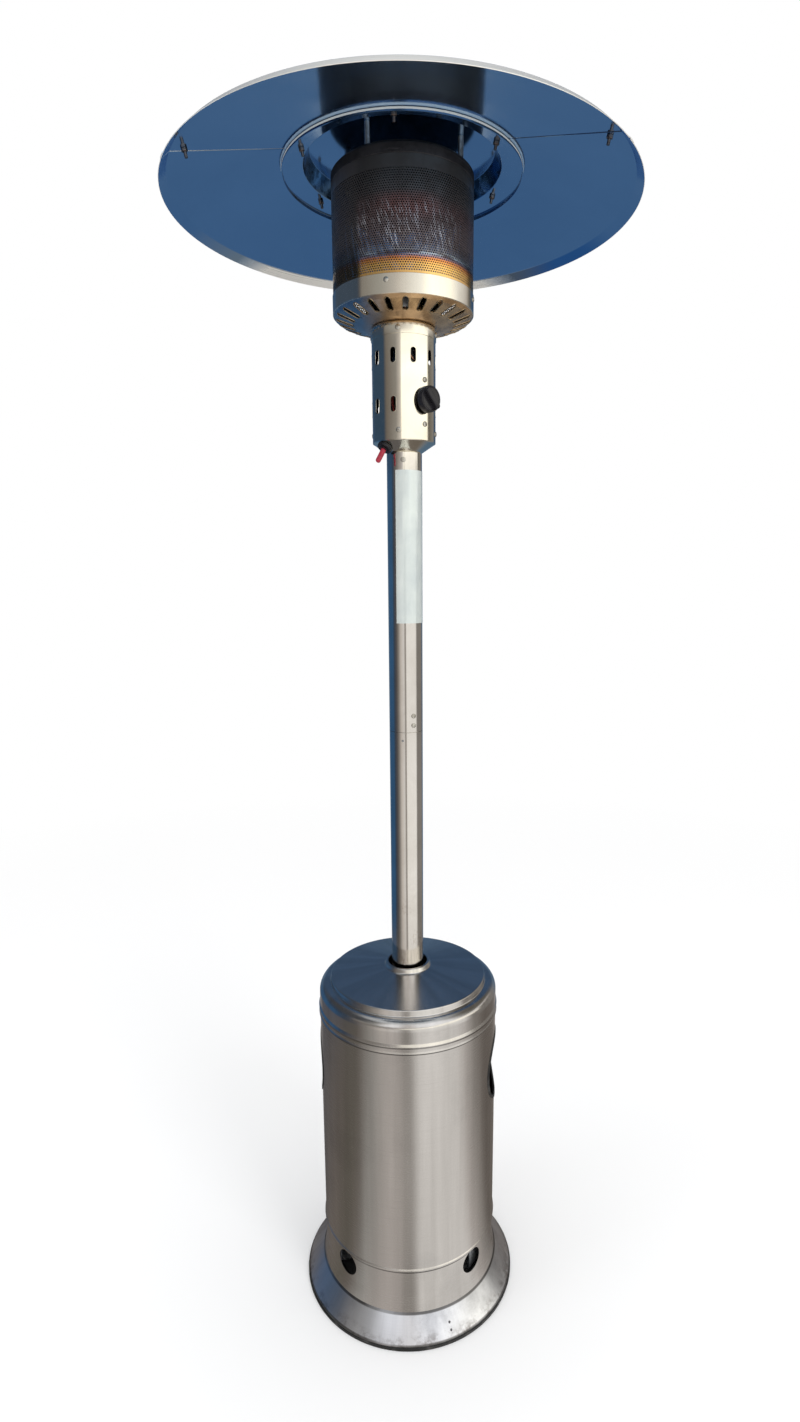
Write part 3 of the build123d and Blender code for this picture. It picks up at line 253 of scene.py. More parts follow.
def spun_sheet(name, points, thickness, radii, segments=192):
    """A piece of sheet metal spun about the pole's axis."""
    return spun(name, sheet_outline(points, thickness, radii), segments)


def turned(name, outline, segments=48, place=(0, 0, 0), axis=(0, 0, 1)):
    """A piece turned about an axis through a place, from (radius, distance along) points."""
    frame_of_axis = Vector(axis).to_track_quat("Z", "Y").to_matrix()
    verts = []
    for k in range(segments):
        angle = 2 * pi * k / segments
        for radius, along in outline:
            local = Vector((radius * cos(angle), radius * sin(angle), along))
            verts.append(Vector(place) + frame_of_axis @ local)
    return new_piece(name, verts, skin_faces(segments, len(outline), closed=False))


def prism(name, outline, depth, frame_matrix, bevel=0.0):
    """A flat outline pushed out by depth, in a frame of its own, with softened edges."""
    size = len(outline)
    verts = [frame_matrix @ Vector((p[0], p[1], 0)) for p in outline]
    verts += [frame_matrix @ Vector((p[0], p[1], depth)) for p in outline]
    faces = [tuple(range(size))[::-1], tuple(range(size, 2 * size))]
    faces += [(k, (k + 1) % size, (k + 1) % size + size, k + size) for k in range(size)]
    piece = new_piece(name, verts, faces)
    if bevel:
        soften(piece, bevel)
    return piece


def soften(piece, width):
    """Rounds a piece's edges."""
    tool = piece.modifiers.new("soften", "BEVEL")
    tool.width = width * mm
    tool.segments = 3
    tool.limit_method = "ANGLE"
    tool.angle_limit = radians(30)
    applied(piece)
    tidy_mesh(piece.data)


def frame_at(origin, x_dir, z_dir):
    """A frame with its origin, its X and its Z, as a matrix in millimetres."""
    z_dir = Vector(z_dir).normalized()
    x_dir = (Vector(x_dir) - z_dir * Vector(x_dir).dot(z_dir)).normalized()
    y_dir = z_dir.cross(x_dir)
    matrix = Matrix((x_dir, y_dir, z_dir)).transposed().to_4x4()
    matrix.translation = Vector(origin)
    return matrix


def beaded(name, ring, size):
    """A closed bead of round section along a ring of points."""
    verts = []
    count, sides = len(ring), 6
    centre = sum(ring, Vector()) / count
    for k, place in enumerate(ring):
        along = (ring[(k + 1) % count] - ring[k - 1]).normalized()
        side = along.cross(place - centre).normalized()
        out = side.cross(along)
        for m in range(sides):
            angle = 2 * pi * m / sides
            verts.append(place + (out * cos(angle) + side * sin(angle)) * size)
    return new_piece(name, verts, skin_faces(count, sides), 60)


def radial_frame(azimuth, radius, height):
    """A frame that faces outwards, with its X level and its Y up."""
    level = Vector((-sin(radians(azimuth)), cos(radians(azimuth)), 0))
    return frame_at(point_at(azimuth, radius, height), level, outward(azimuth))


def slot_outline(length, width, turned_up=False, steps=10):
    """A slot with round ends, as points in a plane."""
    half, end = (length - width) / 2, width / 2
    points = []
    for k in range(steps + 1):
        angle = -pi / 2 + pi * k / steps
        points.append((half + end * cos(angle), end * sin(angle)))
    for k in range(steps + 1):
        angle = pi / 2 + pi * k / steps
        points.append((-half + end * cos(angle), end * sin(angle)))
    if turned_up:
        points = [(-y, x) for x, y in points]
    return points


def oval_outline(width, height, steps):
    """An oval, as points in a plane."""
    return [
        (width / 2 * cos(2 * pi * k / steps), height / 2 * sin(2 * pi * k / steps))
        for k in range(steps)
    ]


# Nodes, and trees of geometry nodes for what repeats


def feed(tree, socket, source):
    """Links a socket to a source, or sets it to a number, a direction or a tone."""
    source = getattr(source, "socket", source)
    if hasattr(source, "is_output"):
        tree.links.new(source, socket)
    elif socket.type == "RGBA":
        socket.default_value = (*source, 1.0)
    else:
        socket.default_value = source


def tree_node(tree, kind, links=(), **settings):
    """A node with its settings, and with links as (input, source) pairs."""
    node = tree.nodes.new(kind)
    for key, value in settings.items():
        setattr(node, key, value)
    for target, source in links:
        feed(tree, node.inputs[target], source)
    return node


def arithmetic(tree, operation, first, second=0.0):
    """One step of arithmetic, as a node."""
    node = tree_node(tree, "ShaderNodeMath", [(0, first), (1, second)], operation=operation)
    return Value(tree, node.outputs[0])


class Value:
    """A node's output that can be calculated with. Each step makes a node."""

    def __init__(self, tree, socket):
        self.tree = tree
        self.socket = socket

    def __add__(self, other):
        return arithmetic(self.tree, "ADD", self, other)

    def __sub__(self, other):
        return arithmetic(self.tree, "SUBTRACT", self, other)

    def __rsub__(self, other):
        return arithmetic(self.tree, "SUBTRACT", other, self)

    def __mul__(self, other):
        return arithmetic(self.tree, "MULTIPLY", self, other)

    def __truediv__(self, other):
        return arithmetic(self.tree, "DIVIDE", self, other)

    def __abs__(self):
        return arithmetic(self.tree, "ABSOLUTE", self)

    def or_more(self, other):
        return arithmetic(self.tree, "MAXIMUM", self, other)


def parts_of(tree, vector):
    """The X, Y and Z of a vector."""
    node = tree_node(tree, "ShaderNodeSeparateXYZ", [("Vector", vector)])
    return [Value(tree, socket) for socket in node.outputs]


def tree_start(name, inputs):
    """A new geometry tree, its inputs by name, and its end."""
    tree = bpy.data.node_groups.new(name, "GeometryNodeTree")
    tree.interface.new_socket("Geometry", in_out="OUTPUT", socket_type="NodeSocketGeometry")
    for label, kind, value in [("Geometry", "Geometry", None), *inputs]:
        socket = tree.interface.new_socket(label, in_out="INPUT", socket_type="NodeSocket" + kind)
        if value is not None:
            socket.default_value = value
    start = tree.nodes.new("NodeGroupInput")
    end = tree.nodes.new("NodeGroupOutput")
    return tree, {s.name: Value(tree, s) for s in start.outputs if s.name}, end


def geometry(tree, kind, links=(), **settings):
    """The outputs of a geometry node."""
    return tree_node(tree, "GeometryNode" + kind, links, **settings).outputs


def tree_end(tree, end, mesh, finish):
    """Ends a tree with real geometry that wears its finish."""
    real = geometry(tree, "RealizeInstances", [("Geometry", mesh)])["Geometry"]
    dressed = geometry(tree, "SetMaterial", [("Geometry", real), ("Material", finish)])["Geometry"]
    tree.links.new(dressed, end.inputs["Geometry"])
    return tree


def mesh_of(tree, source):
    """The mesh of an object that a tree is given."""
    return geometry(tree, "ObjectInfo", [("Object", source)])["Geometry"]


def attribute(tree, name, kind):
    """A named attribute of the points."""
    return geometry(tree, "InputNamedAttribute", [("Name", name)], data_type=kind)["Attribute"]


def rotation_node(tree, kind, links, **settings):
    """A rotation worked out by a node."""
    return tree_node(tree, "FunctionNode" + kind, links, **settings).outputs["Rotation"]


def placed_copies(tree, places, shape, rotation, size=None):
    """A copy of a shape on each point, turned by a rotation and at a size."""
    points = geometry(tree, "MeshToPoints", [("Mesh", places)])["Points"]
    links = [("Points", points), ("Instance", mesh_of(tree, shape)), ("Rotation", rotation)]
    if size:
        links.append(("Scale", size))
    return geometry(tree, "InstanceOnPoints", links)["Instances"]


def run_tree(name, tree, base, values):
    """Runs a tree on a base mesh and returns the finished piece."""
    tool = base.modifiers.new(name, "NODES")
    tool.node_group = tree
    sockets = {s.name: s.identifier for s in tree.interface.items_tree if s.in_out == "INPUT"}
    for label, value in values.items():
        tool[sockets[label]] = value
    base.name = name
    return applied(base)


def points_piece(name, places, facings, turns):
    """A bare set of points, each with the way it faces and its turn about that."""
    mesh = bpy.data.meshes.new(name)
    mesh.from_pydata([tuple(Vector(p) * mm) for p in places], [], [])
    facing = mesh.attributes.new("facing", "FLOAT_VECTOR", "POINT")
    for k, direction in enumerate(facings):
        facing.data[k].vector = Vector(direction).normalized()
    turn = mesh.attributes.new("turn", "FLOAT", "POINT")
    for k, angle in enumerate(turns):
        turn.data[k].value = radians(angle)
    piece = bpy.data.objects.new(name, mesh)
    scene.collection.objects.link(piece)
    return piece


def copies_tree():
    """Copies of one fastener, one on each point, turned the way the point faces."""
    tree, inputs, end = tree_start(
        "fasteners on points",
        [("Fastener", "Object", None), ("Size", "Float", 1.0), ("Finish", "Material", None)],
    )
    facing = attribute(tree, "facing", "FLOAT_VECTOR")
    aim = rotation_node(tree, "AlignRotationToVector", [("Vector", facing)], axis="Z")
    turn = attribute(tree, "turn", "FLOAT")
    spin = rotation_node(tree, "AxisAngleToRotation", [("Axis", (0, 0, 1)), ("Angle", turn)])
    links = [("Rotation", aim), ("Rotate By", spin)]
    both = rotation_node(tree, "RotateRotation", links, rotation_space="LOCAL")
    copies = placed_copies(tree, inputs["Geometry"], inputs["Fastener"], both, inputs["Size"])
    return tree_end(tree, end, copies, inputs["Finish"])


def punch_tree():
    """A sheet with the same hole punched through it at each point."""
    tree, inputs, end = tree_start(
        "holes on points",
        [("Places", "Object", None), ("Punch", "Object", None), ("Finish", "Material", None)],
    )
    angles = attribute(tree, "rotation", "FLOAT_VECTOR")
    turn = rotation_node(tree, "EulerToRotation", [("Euler", angles)])
    copies = placed_copies(tree, mesh_of(tree, inputs["Places"]), inputs["Punch"], turn)
    punches = geometry(tree, "RealizeInstances", [("Geometry", copies)])["Geometry"]
    links = [("Mesh 1", inputs["Geometry"]), ("Mesh 2", punches)]
    holed = geometry(tree, "MeshBoolean", links, operation="DIFFERENCE", solver="EXACT")["Mesh"]
    return tree_end(tree, end, holed, inputs["Finish"])


def perforation_tree():
    """A round screen of six-sided cells, each with a hole that goes through the sheet."""
    tree, inputs, end = tree_start(
        "perforated screen",
        [
            ("Radius", "Float", 0.1),
            ("Bottom", "Float", 0.0),
            ("Top", "Float", 0.2),
            ("Plain Foot", "Float", 0.01),
            ("Plain Head", "Float", 0.01),
            ("Columns", "Int", 100),
            ("Rows", "Int", 20),
            ("First Row", "Int", 0),
            ("Open Share", "Float", 0.6),
            ("Thickness", "Float", 0.001),
            ("Finish", "Material", None),
        ],
    )
    radius, columns, rows = inputs["Radius"], inputs["Columns"], inputs["Rows"]
    bottom, top = inputs["Bottom"], inputs["Top"]

    def merged(mesh, distance):
        links = [("Geometry", mesh), ("Distance", distance)]
        return geometry(tree, "MergeByDistance", links)["Geometry"]

    def extruded(mesh, offset, individual):
        links = [("Mesh", mesh), ("Offset Scale", offset), ("Individual", individual)]
        return geometry(tree, "ExtrudeMesh", links, mode="FACES")

    # A flat grid of triangles is sheared, rolled up and turned into its six-sided cells
    links = [("Size X", 1.0), ("Size Y", 1.0), ("Vertices X", columns + 1.0), ("Vertices Y", rows)]
    grid = geometry(tree, "MeshGrid", links)["Mesh"]
    triangles = geometry(tree, "Triangulate", [("Mesh", grid)], quad_method="FIXED")["Mesh"]
    flat_x, flat_y, _ = parts_of(tree, geometry(tree, "InputPosition")["Position"])
    share_up = flat_y + 0.5
    row = share_up * (rows - 1.0)
    sheared = (flat_x + 0.5) * columns + (row + inputs["First Row"]) * -0.5
    angle = sheared / columns * (2 * pi)
    links = [
        ("X", radius * arithmetic(tree, "COSINE", angle)),
        ("Y", radius * arithmetic(tree, "SINE", angle)),
        ("Z", bottom + share_up * (top - bottom)),
    ]
    place = tree_node(tree, "ShaderNodeCombineXYZ", links).outputs["Vector"]
    rolled = geometry(tree, "SetPosition", [("Geometry", triangles), ("Position", place)])["Geometry"]
    links = [("Mesh", merged(rolled, 1e-5)), ("Keep Boundaries", True)]
    cells = geometry(tree, "DualMesh", links)["Dual Mesh"]

    # Each cell's middle shrinks and goes, except in the plain edges
    shrunk = extruded(cells, 0.0, True)
    links = [
        ("Geometry", shrunk["Mesh"]), ("Selection", shrunk["Top"]), ("Scale", inputs["Open Share"]),
    ]
    inner = geometry(tree, "ScaleElements", links, domain="FACE")["Geometry"]
    level = parts_of(tree, geometry(tree, "InputPosition")["Position"])[2]
    above = arithmetic(tree, "GREATER_THAN", level, bottom + inputs["Plain Foot"])
    below = arithmetic(tree, "LESS_THAN", level, top - inputs["Plain Head"])
    links = [(0, above * below), (1, shrunk["Top"])]
    open_cells = tree_node(tree, "FunctionNodeBooleanMath", links).outputs["Boolean"]
    links = [("Geometry", inner), ("Selection", open_cells)]
    sheet = geometry(tree, "DeleteGeometry", links, domain="FACE", mode="ALL")["Geometry"]

    # The sheet gets its thickness
    walls = extruded(sheet, inputs["Thickness"] * -1.0, False)["Mesh"]
    both = tree_node(tree, "GeometryNodeJoinGeometry")
    for mesh in (sheet, walls):
        tree.links.new(mesh, both.inputs["Geometry"])
    return tree_end(tree, end, merged(both.outputs["Geometry"], 1e-6), inputs["Finish"])


# Surfaces


class Shading:
    """Puts a tree of shading nodes together."""

    def __init__(self, tree):
        self.tree = tree

    def node(self, kind, links=(), **settings):
        return tree_node(self.tree, kind, links, **settings)

    def between(self, value, low, high):
        """0 up to low, 1 from high, in proportion between."""
        links = [("Value", value), ("From Min", low), ("From Max", high)]
        node = self.node("ShaderNodeMapRange", links, clamp=True)
        return Value(self.tree, node.outputs["Result"])

    def ramp(self, factor, stops):
        """Tones along a factor."""
        node = self.node("ShaderNodeValToRGB", [("Fac", factor)])
        points = node.color_ramp.elements
        while len(points) < len(stops):
            points.new(0.5)
        for point, (place, colour) in zip(points, stops):
            point.position = place
            point.color = (*colour, 1.0)
        return node.outputs["Color"]

    def mix(self, factor, first, second):
        """Two tones mixed."""
        links = [(0, factor), (6, first), (7, second)]
        return self.node("ShaderNodeMix", links, data_type="RGBA").outputs[2]

    def round_share(self, x, y):
        """How far round a direction is: 0.5 is the front, less is its left, more is its right."""
        return arithmetic(self.tree, "ARCTAN2", x, y * -1.0) / (2 * pi) + 0.5


class Finish(Shading):
    """A material that is put together node by node."""

    def __init__(self, name):
        self.material = bpy.data.materials.new(name)
        self.material.use_nodes = True
        super().__init__(self.material.node_tree)
        self.surface = self.tree.nodes["Principled BSDF"]
        self.place = self.node("ShaderNodeTexCoord").outputs["Object"]
        self.x, self.y, self.z = parts_of(self.tree, self.place)
        self.bumps = None

    def noise(self, scale, stretch=None, detail=4.0, rough=0.55, place=None, distortion=0.0):
        """Noise in the piece's own coordinates, or stretched along them."""
        where = place or self.place
        if stretch:
            links = [("Vector", where), ("Scale", stretch)]
            where = self.node("ShaderNodeMapping", links).outputs["Vector"]
        links = [
            ("Vector", where), ("Scale", scale), ("Detail", detail),
            ("Roughness", rough), ("Distortion", distortion),
        ]
        return Value(self.tree, self.node("ShaderNodeTexNoise", links).outputs["Fac"])

    def spots(self, scale):
        """Distance from the nearest of many scattered points."""
        node = self.node("ShaderNodeTexVoronoi", [("Vector", self.place), ("Scale", scale)])
        return Value(self.tree, node.outputs["Distance"])

    @cached_property
    def turn(self):
        """Azimuth of a point, in radians."""
        return arithmetic(self.tree, "ARCTAN2", self.y, self.x)

    @cached_property
    def radius(self):
        """Distance of a point from the pole's axis."""
        return arithmetic(self.tree, "SQRT", self.x * self.x + self.y * self.y)

    @cached_property
    def normal(self):
        """The way a face looks."""
        return self.node("ShaderNodeNewGeometry").outputs["True Normal"]

    @cached_property
    def up(self):
        """How far a face looks up."""
        return parts_of(self.tree, self.normal)[2]

    @cached_property
    def outwards(self):
        """How far a face looks away from the pole."""
        level = self.node(
            "ShaderNodeVectorMath", [(0, self.place), (1, (1.0, 1.0, 0.0))], operation="MULTIPLY"
        ).outputs["Vector"]
        ray = self.node("ShaderNodeVectorMath", [(0, level)], operation="NORMALIZE").outputs["Vector"]
        links = [(0, self.normal), (1, ray)]
        node = self.node("ShaderNodeVectorMath", links, operation="DOT_PRODUCT")
        return Value(self.tree, node.outputs["Value"])

    def wrapped(self, around, climb=0.0):
        """Coordinates that follow a round piece: along its turn and climb, its radius, its height."""
        along = self.turn * around
        if climb:
            along = along + self.z * climb
        links = [("X", along), ("Y", self.radius), ("Z", self.z)]
        return self.node("ShaderNodeCombineXYZ", links).outputs["Vector"]

    def bump(self, height, strength, distance):
        """Lays a bump over those before it."""
        links = [("Height", height), ("Strength", strength), ("Distance", distance)]
        if self.bumps:
            links.append(("Normal", self.bumps))
        self.bumps = self.node("ShaderNodeBump", links).outputs["Normal"]

    def done(self, colour, roughness, metallic=0.0, **fixed):
        """The finished material."""
        values = {"Base Color": colour, "Roughness": roughness, "Metallic": metallic}
        values.update({label.replace("_", " "): value for label, value in fixed.items()})
        if self.bumps:
            values["Normal"] = self.bumps
        for label, value in values.items():
            feed(self.tree, self.surface.inputs[label], value)
        return self.material


def polished_steel(name, tint, dark, smudges=0.5, specks=0.0, speck_height=0.0):
    """Polished sheet with drawing lines, smudges, fine scratches and, low down, specks of rust; faces that
    look inwards get a painted shade.
    """
    finish = Finish(name)
    around = finish.wrapped(0.1)
    lines = finish.noise(1.0, stretch=(900, 900, 4), detail=3, place=around)
    smear = finish.noise(7.0, detail=5, rough=0.6, distortion=0.6)
    scratch = finish.noise(1.0, stretch=(60, 60, 900), detail=2, place=around)
    colour = finish.mix(finish.between(smear, 0.35, 0.7), tint, dark)
    colour = finish.mix(finish.between(lines, 0.55, 0.75) * 0.4, colour, dark)
    if specks:
        dots = finish.spots(260.0)
        low = finish.between(finish.z, speck_height + 0.22, speck_height)
        where = finish.between(finish.noise(22.0, detail=6), 0.5, 0.62) * low
        rust = finish.between(dots, 0.34, 0.2) * where
        colour = finish.mix(rust * specks, colour, (0.22, 0.1, 0.03))
    # Faces that look inwards are darkened: painted shade.
    colour = finish.mix(finish.between(finish.outwards, -0.3, -0.6), colour, (0.05, 0.045, 0.04))
    rough = finish.between(smear + scratch * 0.3, 0.3, 1.1)
    rough = rough * (0.16 * smudges) + 0.07
    finish.bump(finish.noise(16.0, detail=2), 0.12, 0.002)
    finish.bump(lines, 0.03, 0.0002)
    return finish.done(colour, rough, 1.0)


def brushed_steel(name, tint, dark, rough_low, rough_high, wear, shadow_lines, rust=0.0, polish=None):
    """Spun and brushed sheet: fine rings, broad streaks, stains, painted shadow lines at given heights, and
    painted shade on faces that look inwards.
    """
    finish = Finish(name)
    around = finish.wrapped(0.18)
    rings = finish.noise(1.0, stretch=(9, 1500, 1500), detail=3, rough=0.7, place=around)
    fine = finish.noise(1.0, stretch=(60, 4200, 4200), detail=2, place=around)
    streaks = finish.noise(1.0, stretch=(26, 2, 1.2), detail=5, rough=0.6, place=around)
    cloud = finish.noise(5.0, detail=6, rough=0.6)
    colour = finish.mix(finish.between(streaks, 0.3, 0.72), tint, dark)
    colour = finish.mix(finish.between(rings, 0.45, 0.7) * 0.35, colour, dark)
    stain = finish.between(cloud, 0.52, 0.68) * wear
    colour = finish.mix(stain, colour, (0.10, 0.10, 0.105))
    grains = finish.between(finish.spots(520.0), 0.2, 0.1) * wear * finish.between(cloud, 0.45, 0.6)
    colour = finish.mix(grains, colour, (0.05, 0.045, 0.04))
    if rust:
        hem = finish.between(finish.z + cloud * -0.03, 0.012, -0.004)
        patches = finish.between(finish.noise(45.0, detail=8, rough=0.7), 0.48, 0.62)
        colour = finish.mix(hem * patches * rust, colour, (0.085, 0.055, 0.038))
    fade = 0.0015
    # Painted shadow lines under seams and in gaps, at the given heights, broken up by the cloud noise.
    for low, high, depth in shadow_lines:
        line = finish.between(finish.z, low - fade, low) * finish.between(finish.z, high + fade, high)
        line = line * finish.between(cloud, 0.2, 0.5)
        colour = finish.mix(line * depth, colour, (0.07, 0.065, 0.06))
    # Faces inside the housing that look inwards get a painted shade.
    shaded_inside = finish.between(finish.outwards, -0.3, -0.6) * finish.between(finish.radius, 0.2, 0.199)
    colour = finish.mix(shaded_inside, colour, (0.10, 0.095, 0.09))
    rough = (rings + fine) * 0.5
    rough = rough * (rough_high - rough_low) + rough_low
    if polish:
        smooth = finish.between(finish.z, polish, polish + 0.004) * 0.2
        rough = rough * (1.0 - smooth)
    finish.bump(rings, 0.10, 0.0002)
    finish.bump(fine, 0.06, 0.0001)
    finish.bump(finish.noise(9.0, detail=3), 0.10, 0.002)
    return finish.done(colour, rough, 1.0)


def heat_tinted_steel():
    """Steel that the flame has coloured: straw and blue at the foot, brown above, then charcoal; a painted
    shade on its front left and a near-black painted shade inside.
    """
    finish = Finish("heat_tinted_steel")
    screen_radius = 0.124
    around = finish.wrapped(screen_radius)
    waves = finish.noise(9.0, detail=5)
    level = finish.z + (waves - 0.5) * 0.012
    colour = finish.ramp(
        finish.between(level, 1.985, 2.185),
        [
            (0.0, (0.80, 0.52, 0.22)),
            (0.09, (0.92, 0.55, 0.17)),
            (0.135, (0.80, 0.30, 0.09)),
            (0.155, (0.36, 0.24, 0.30)),
            (0.172, (0.52, 0.58, 0.68)),
            (0.185, (0.50, 0.52, 0.52)),
            (0.205, (0.24, 0.22, 0.24)),
            (0.25, (0.17, 0.13, 0.13)),
            (0.40, (0.15, 0.108, 0.105)),
            (0.52, (0.14, 0.085, 0.080)),
            (0.62, (0.092, 0.078, 0.074)),
            (0.72, (0.070, 0.065, 0.062)),
            (1.0, (0.060, 0.057, 0.055)),
        ],
    )
    sheen = finish.between(level, 2.0145, 2.0175) * finish.between(level, 2.027, 2.022)
    rubbed = finish.noise(1.0, stretch=(22, 22, 160), detail=5, rough=0.7, place=around)
    worn = finish.between(rubbed, 0.58, 0.44)
    colour = finish.mix(sheen * worn, colour, (0.15, 0.115, 0.12))
    ahead = finish.between(abs(finish.turn + 1.5), 0.55, 0.2)
    patch = finish.between(abs(level - 2.088), 0.024, 0.006) * ahead
    colour = finish.mix(patch * 0.7, colour, (0.21, 0.085, 0.07))
    slanted = finish.wrapped(screen_radius, climb=0.22)
    strokes = finish.noise(1.0, stretch=(300, 300, 34), detail=4, rough=0.7, place=slanted, distortion=0.7)
    chalk = finish.between(strokes, 0.53, 0.60)
    where = finish.between(finish.noise(16.0, detail=3), 0.34, 0.5)
    where = where * finish.between(abs(finish.turn + 1.6), 0.95, 0.5)
    height = finish.between(level, 2.018, 2.03) * finish.between(level, 2.104, 2.07)
    chalk = chalk * where * height
    colour = finish.mix(chalk * 0.85, colour, (0.66, 0.62, 0.64))
    above = finish.between(level, 2.02, 2.05)
    soot = finish.between(finish.noise(34.0, detail=8, rough=0.7), 0.46, 0.64) * above
    colour = finish.mix(soot * 0.45, colour, (0.052, 0.046, 0.047))
    # The front left of the screen is darkened: painted shade.
    left = finish.between(finish.x, -0.07, -0.077) * finish.between(finish.y, 0.02, -0.02)
    colour = finish.mix(left * 0.85, colour, (0.09, 0.08, 0.072))
    # Faces that look inwards are painted near black: painted shade.
    shaded_inside = finish.between(finish.outwards, 0.2, -0.2)
    colour = finish.mix(shaded_inside, colour, (0.010, 0.009, 0.009))
    rough = soot * 0.15 + above * 0.16 + 0.14
    metal = 0.97 - above * 0.35
    finish.bump(strokes, 0.12, 0.0004)
    return finish.done(colour, rough, metal)


def stained_steel():
    """The bowl's steel: brown and gold where the heat has stained it, a painted blue reflection on its left,
    and a near-black painted shade on faces that look up.
    """
    finish = Finish("stained_steel")
    cloud = finish.noise(26.0, detail=6, rough=0.65, distortion=0.4)
    gold = finish.mix(finish.between(cloud, 0.35, 0.68), (0.62, 0.40, 0.20), (0.30, 0.18, 0.09))
    # The left of the bowl takes a painted blue reflection in place of the gold stain.
    blue_reflection = finish.mix(finish.between(cloud, 0.35, 0.68), (0.10, 0.19, 0.30), (0.05, 0.10, 0.18))
    side = finish.x + (cloud - 0.5) * 0.05
    colour = finish.mix(finish.between(side, -0.075, -0.025), blue_reflection, gold)
    wall = finish.between(finish.z, 1.957, 1.9585)
    colour = finish.mix(wall, colour, (0.86, 0.80, 0.66))
    # Faces that look up, inside the emitter, are painted near black: painted shade.
    colour = finish.mix(finish.between(finish.up, 0.2, 0.5), colour, (0.012, 0.011, 0.011))
    rough = cloud * 0.2 + 0.14
    finish.bump(cloud, 0.1, 0.0006)
    return finish.done(colour, rough, 0.72)


def sooted_steel():
    """The cap of the emitter: dark scale with a few bare scrapes."""
    finish = Finish("sooted_steel")
    around = finish.wrapped(0.12)
    scale_patches = finish.noise(30.0, detail=8, rough=0.7)
    scrapes = finish.noise(1.0, stretch=(25, 200, 200), detail=5, place=around)
    patchy = finish.between(scale_patches, 0.4, 0.65)
    colour = finish.mix(patchy, (0.058, 0.054, 0.056), (0.030, 0.028, 0.030))
    colour = finish.mix(finish.between(scrapes, 0.62, 0.72) * 0.5, colour, (0.14, 0.13, 0.13))
    finish.bump(scale_patches, 0.2, 0.0005)
    rough = scale_patches * 0.3 + 0.35
    return finish.done(colour, rough, 0.7)


# Azimuth of the reflector's seam at the left
seam_left = 205


def reflector_sheet():
    """Rolled aluminium: a painted blue reflection below, plainer and weathered above, painted highlights at
    its edges, a painted dark reflection on the hub's step and a painted shadow on the hem.
    """
    finish = Finish("reflector_aluminium")
    around = finish.wrapped(0.4)
    below = finish.between(finish.up, 0.1, -0.1)
    cloud = finish.noise(4.0, detail=5, distortion=0.4)
    rings = finish.noise(1.0, stretch=(5, 700, 700), detail=3, place=around)
    # The underside and the lip are painted blue: a painted reflection of blue surroundings.
    blue = finish.mix(finish.between(cloud, 0.3, 0.7), (0.44, 0.64, 0.88), (0.38, 0.57, 0.80))
    blue = finish.mix(rings * 0.25, blue, (0.3, 0.46, 0.68))
    lip = finish.between(finish.radius, 0.3925, 0.3945)
    far_part = finish.between(finish.y - finish.x * 0.17, 0.28, 0.33)
    rim = lip * far_part.or_more(finish.between(finish.outwards, 0.1, 0.4))
    # The hub's step wall gets a painted dark, wavy reflection in blues.
    step = finish.between(finish.radius, 0.1735, 0.1715) * finish.between(finish.radius, 0.157, 0.159)
    step = step * finish.between(abs(finish.up), 0.85, 0.6)
    wavy_reflection = finish.between(finish.noise(1.0, stretch=(26, 60, 60), detail=3, place=around), 0.5, 0.6)
    blue = finish.mix(step, blue, finish.mix(wavy_reflection, (0.15, 0.27, 0.42), (0.05, 0.10, 0.17)))
    plain = finish.mix(finish.between(cloud, 0.3, 0.7), (0.72, 0.73, 0.74), (0.56, 0.57, 0.59))
    water = finish.between(finish.spots(55.0), 0.28, 0.2) * 0.25
    plain = finish.mix(water, plain, (0.45, 0.45, 0.44))
    colour = finish.mix(below.or_more(lip), plain, blue)
    # Painted highlight in cream on the far part of the rim and on the lip's outward faces.
    colour = finish.mix(rim, colour, (0.90, 0.88, 0.82))
    hem = finish.between(finish.radius, 0.2048, 0.2052) * finish.between(finish.radius, 0.208, 0.2076)
    flange = hem * finish.between(abs(finish.up), 0.9, 0.5)
    inner = flange * finish.between(finish.outwards, -0.3, -0.5)
    outer = flange * finish.between(finish.outwards, 0.3, 0.5)
    flange = outer * finish.between(finish.z, 2.1795, 2.1799)
    # Both upright faces of the hem get a painted dark blue shadow.
    colour = finish.mix(inner.or_more(outer), colour, (0.1, 0.16, 0.25))
    seam = finish.between(abs(finish.turn + radians(360 - seam_left)), 0.004, 0.003)
    seam = seam * below * finish.between(finish.radius, 0.2085, 0.2095)
    colour = finish.mix(seam, colour, (0.86, 0.82, 0.74))
    # The top of the hem's outer face gets a painted highlight in cream.
    colour = finish.mix(flange, colour, (0.95, 0.92, 0.85))
    dull = (rim * 0.55).or_more(flange * 0.9).or_more(seam * 0.6)
    rough = rings * 0.08 + 0.08 + dull * 0.3
    finish.bump(finish.noise(5.0, detail=2), 0.25, 0.004)
    finish.bump(rings, 0.03, 0.0002)
    return finish.done(colour, rough, 1.0 - dull)


def galvanised_steel():
    """Zinc coat with its flakes and dull patches."""
    finish = Finish("galvanised_steel")
    flakes = finish.node("ShaderNodeTexVoronoi", [("Vector", finish.place), ("Scale", 140.0)])
    split = finish.node("ShaderNodeSeparateColor", [("Color", flakes.outputs["Color"])])
    shade = Value(finish.tree, split.outputs["Red"])
    dull = finish.noise(18.0, detail=5)
    colour = finish.mix(shade, (0.52, 0.54, 0.56), (0.38, 0.40, 0.42))
    colour = finish.mix(finish.between(dull, 0.5, 0.7), colour, (0.33, 0.33, 0.32))
    rough = shade * 0.15 + 0.36
    finish.bump(dull, 0.15, 0.0004)
    return finish.done(colour, rough, 0.9)


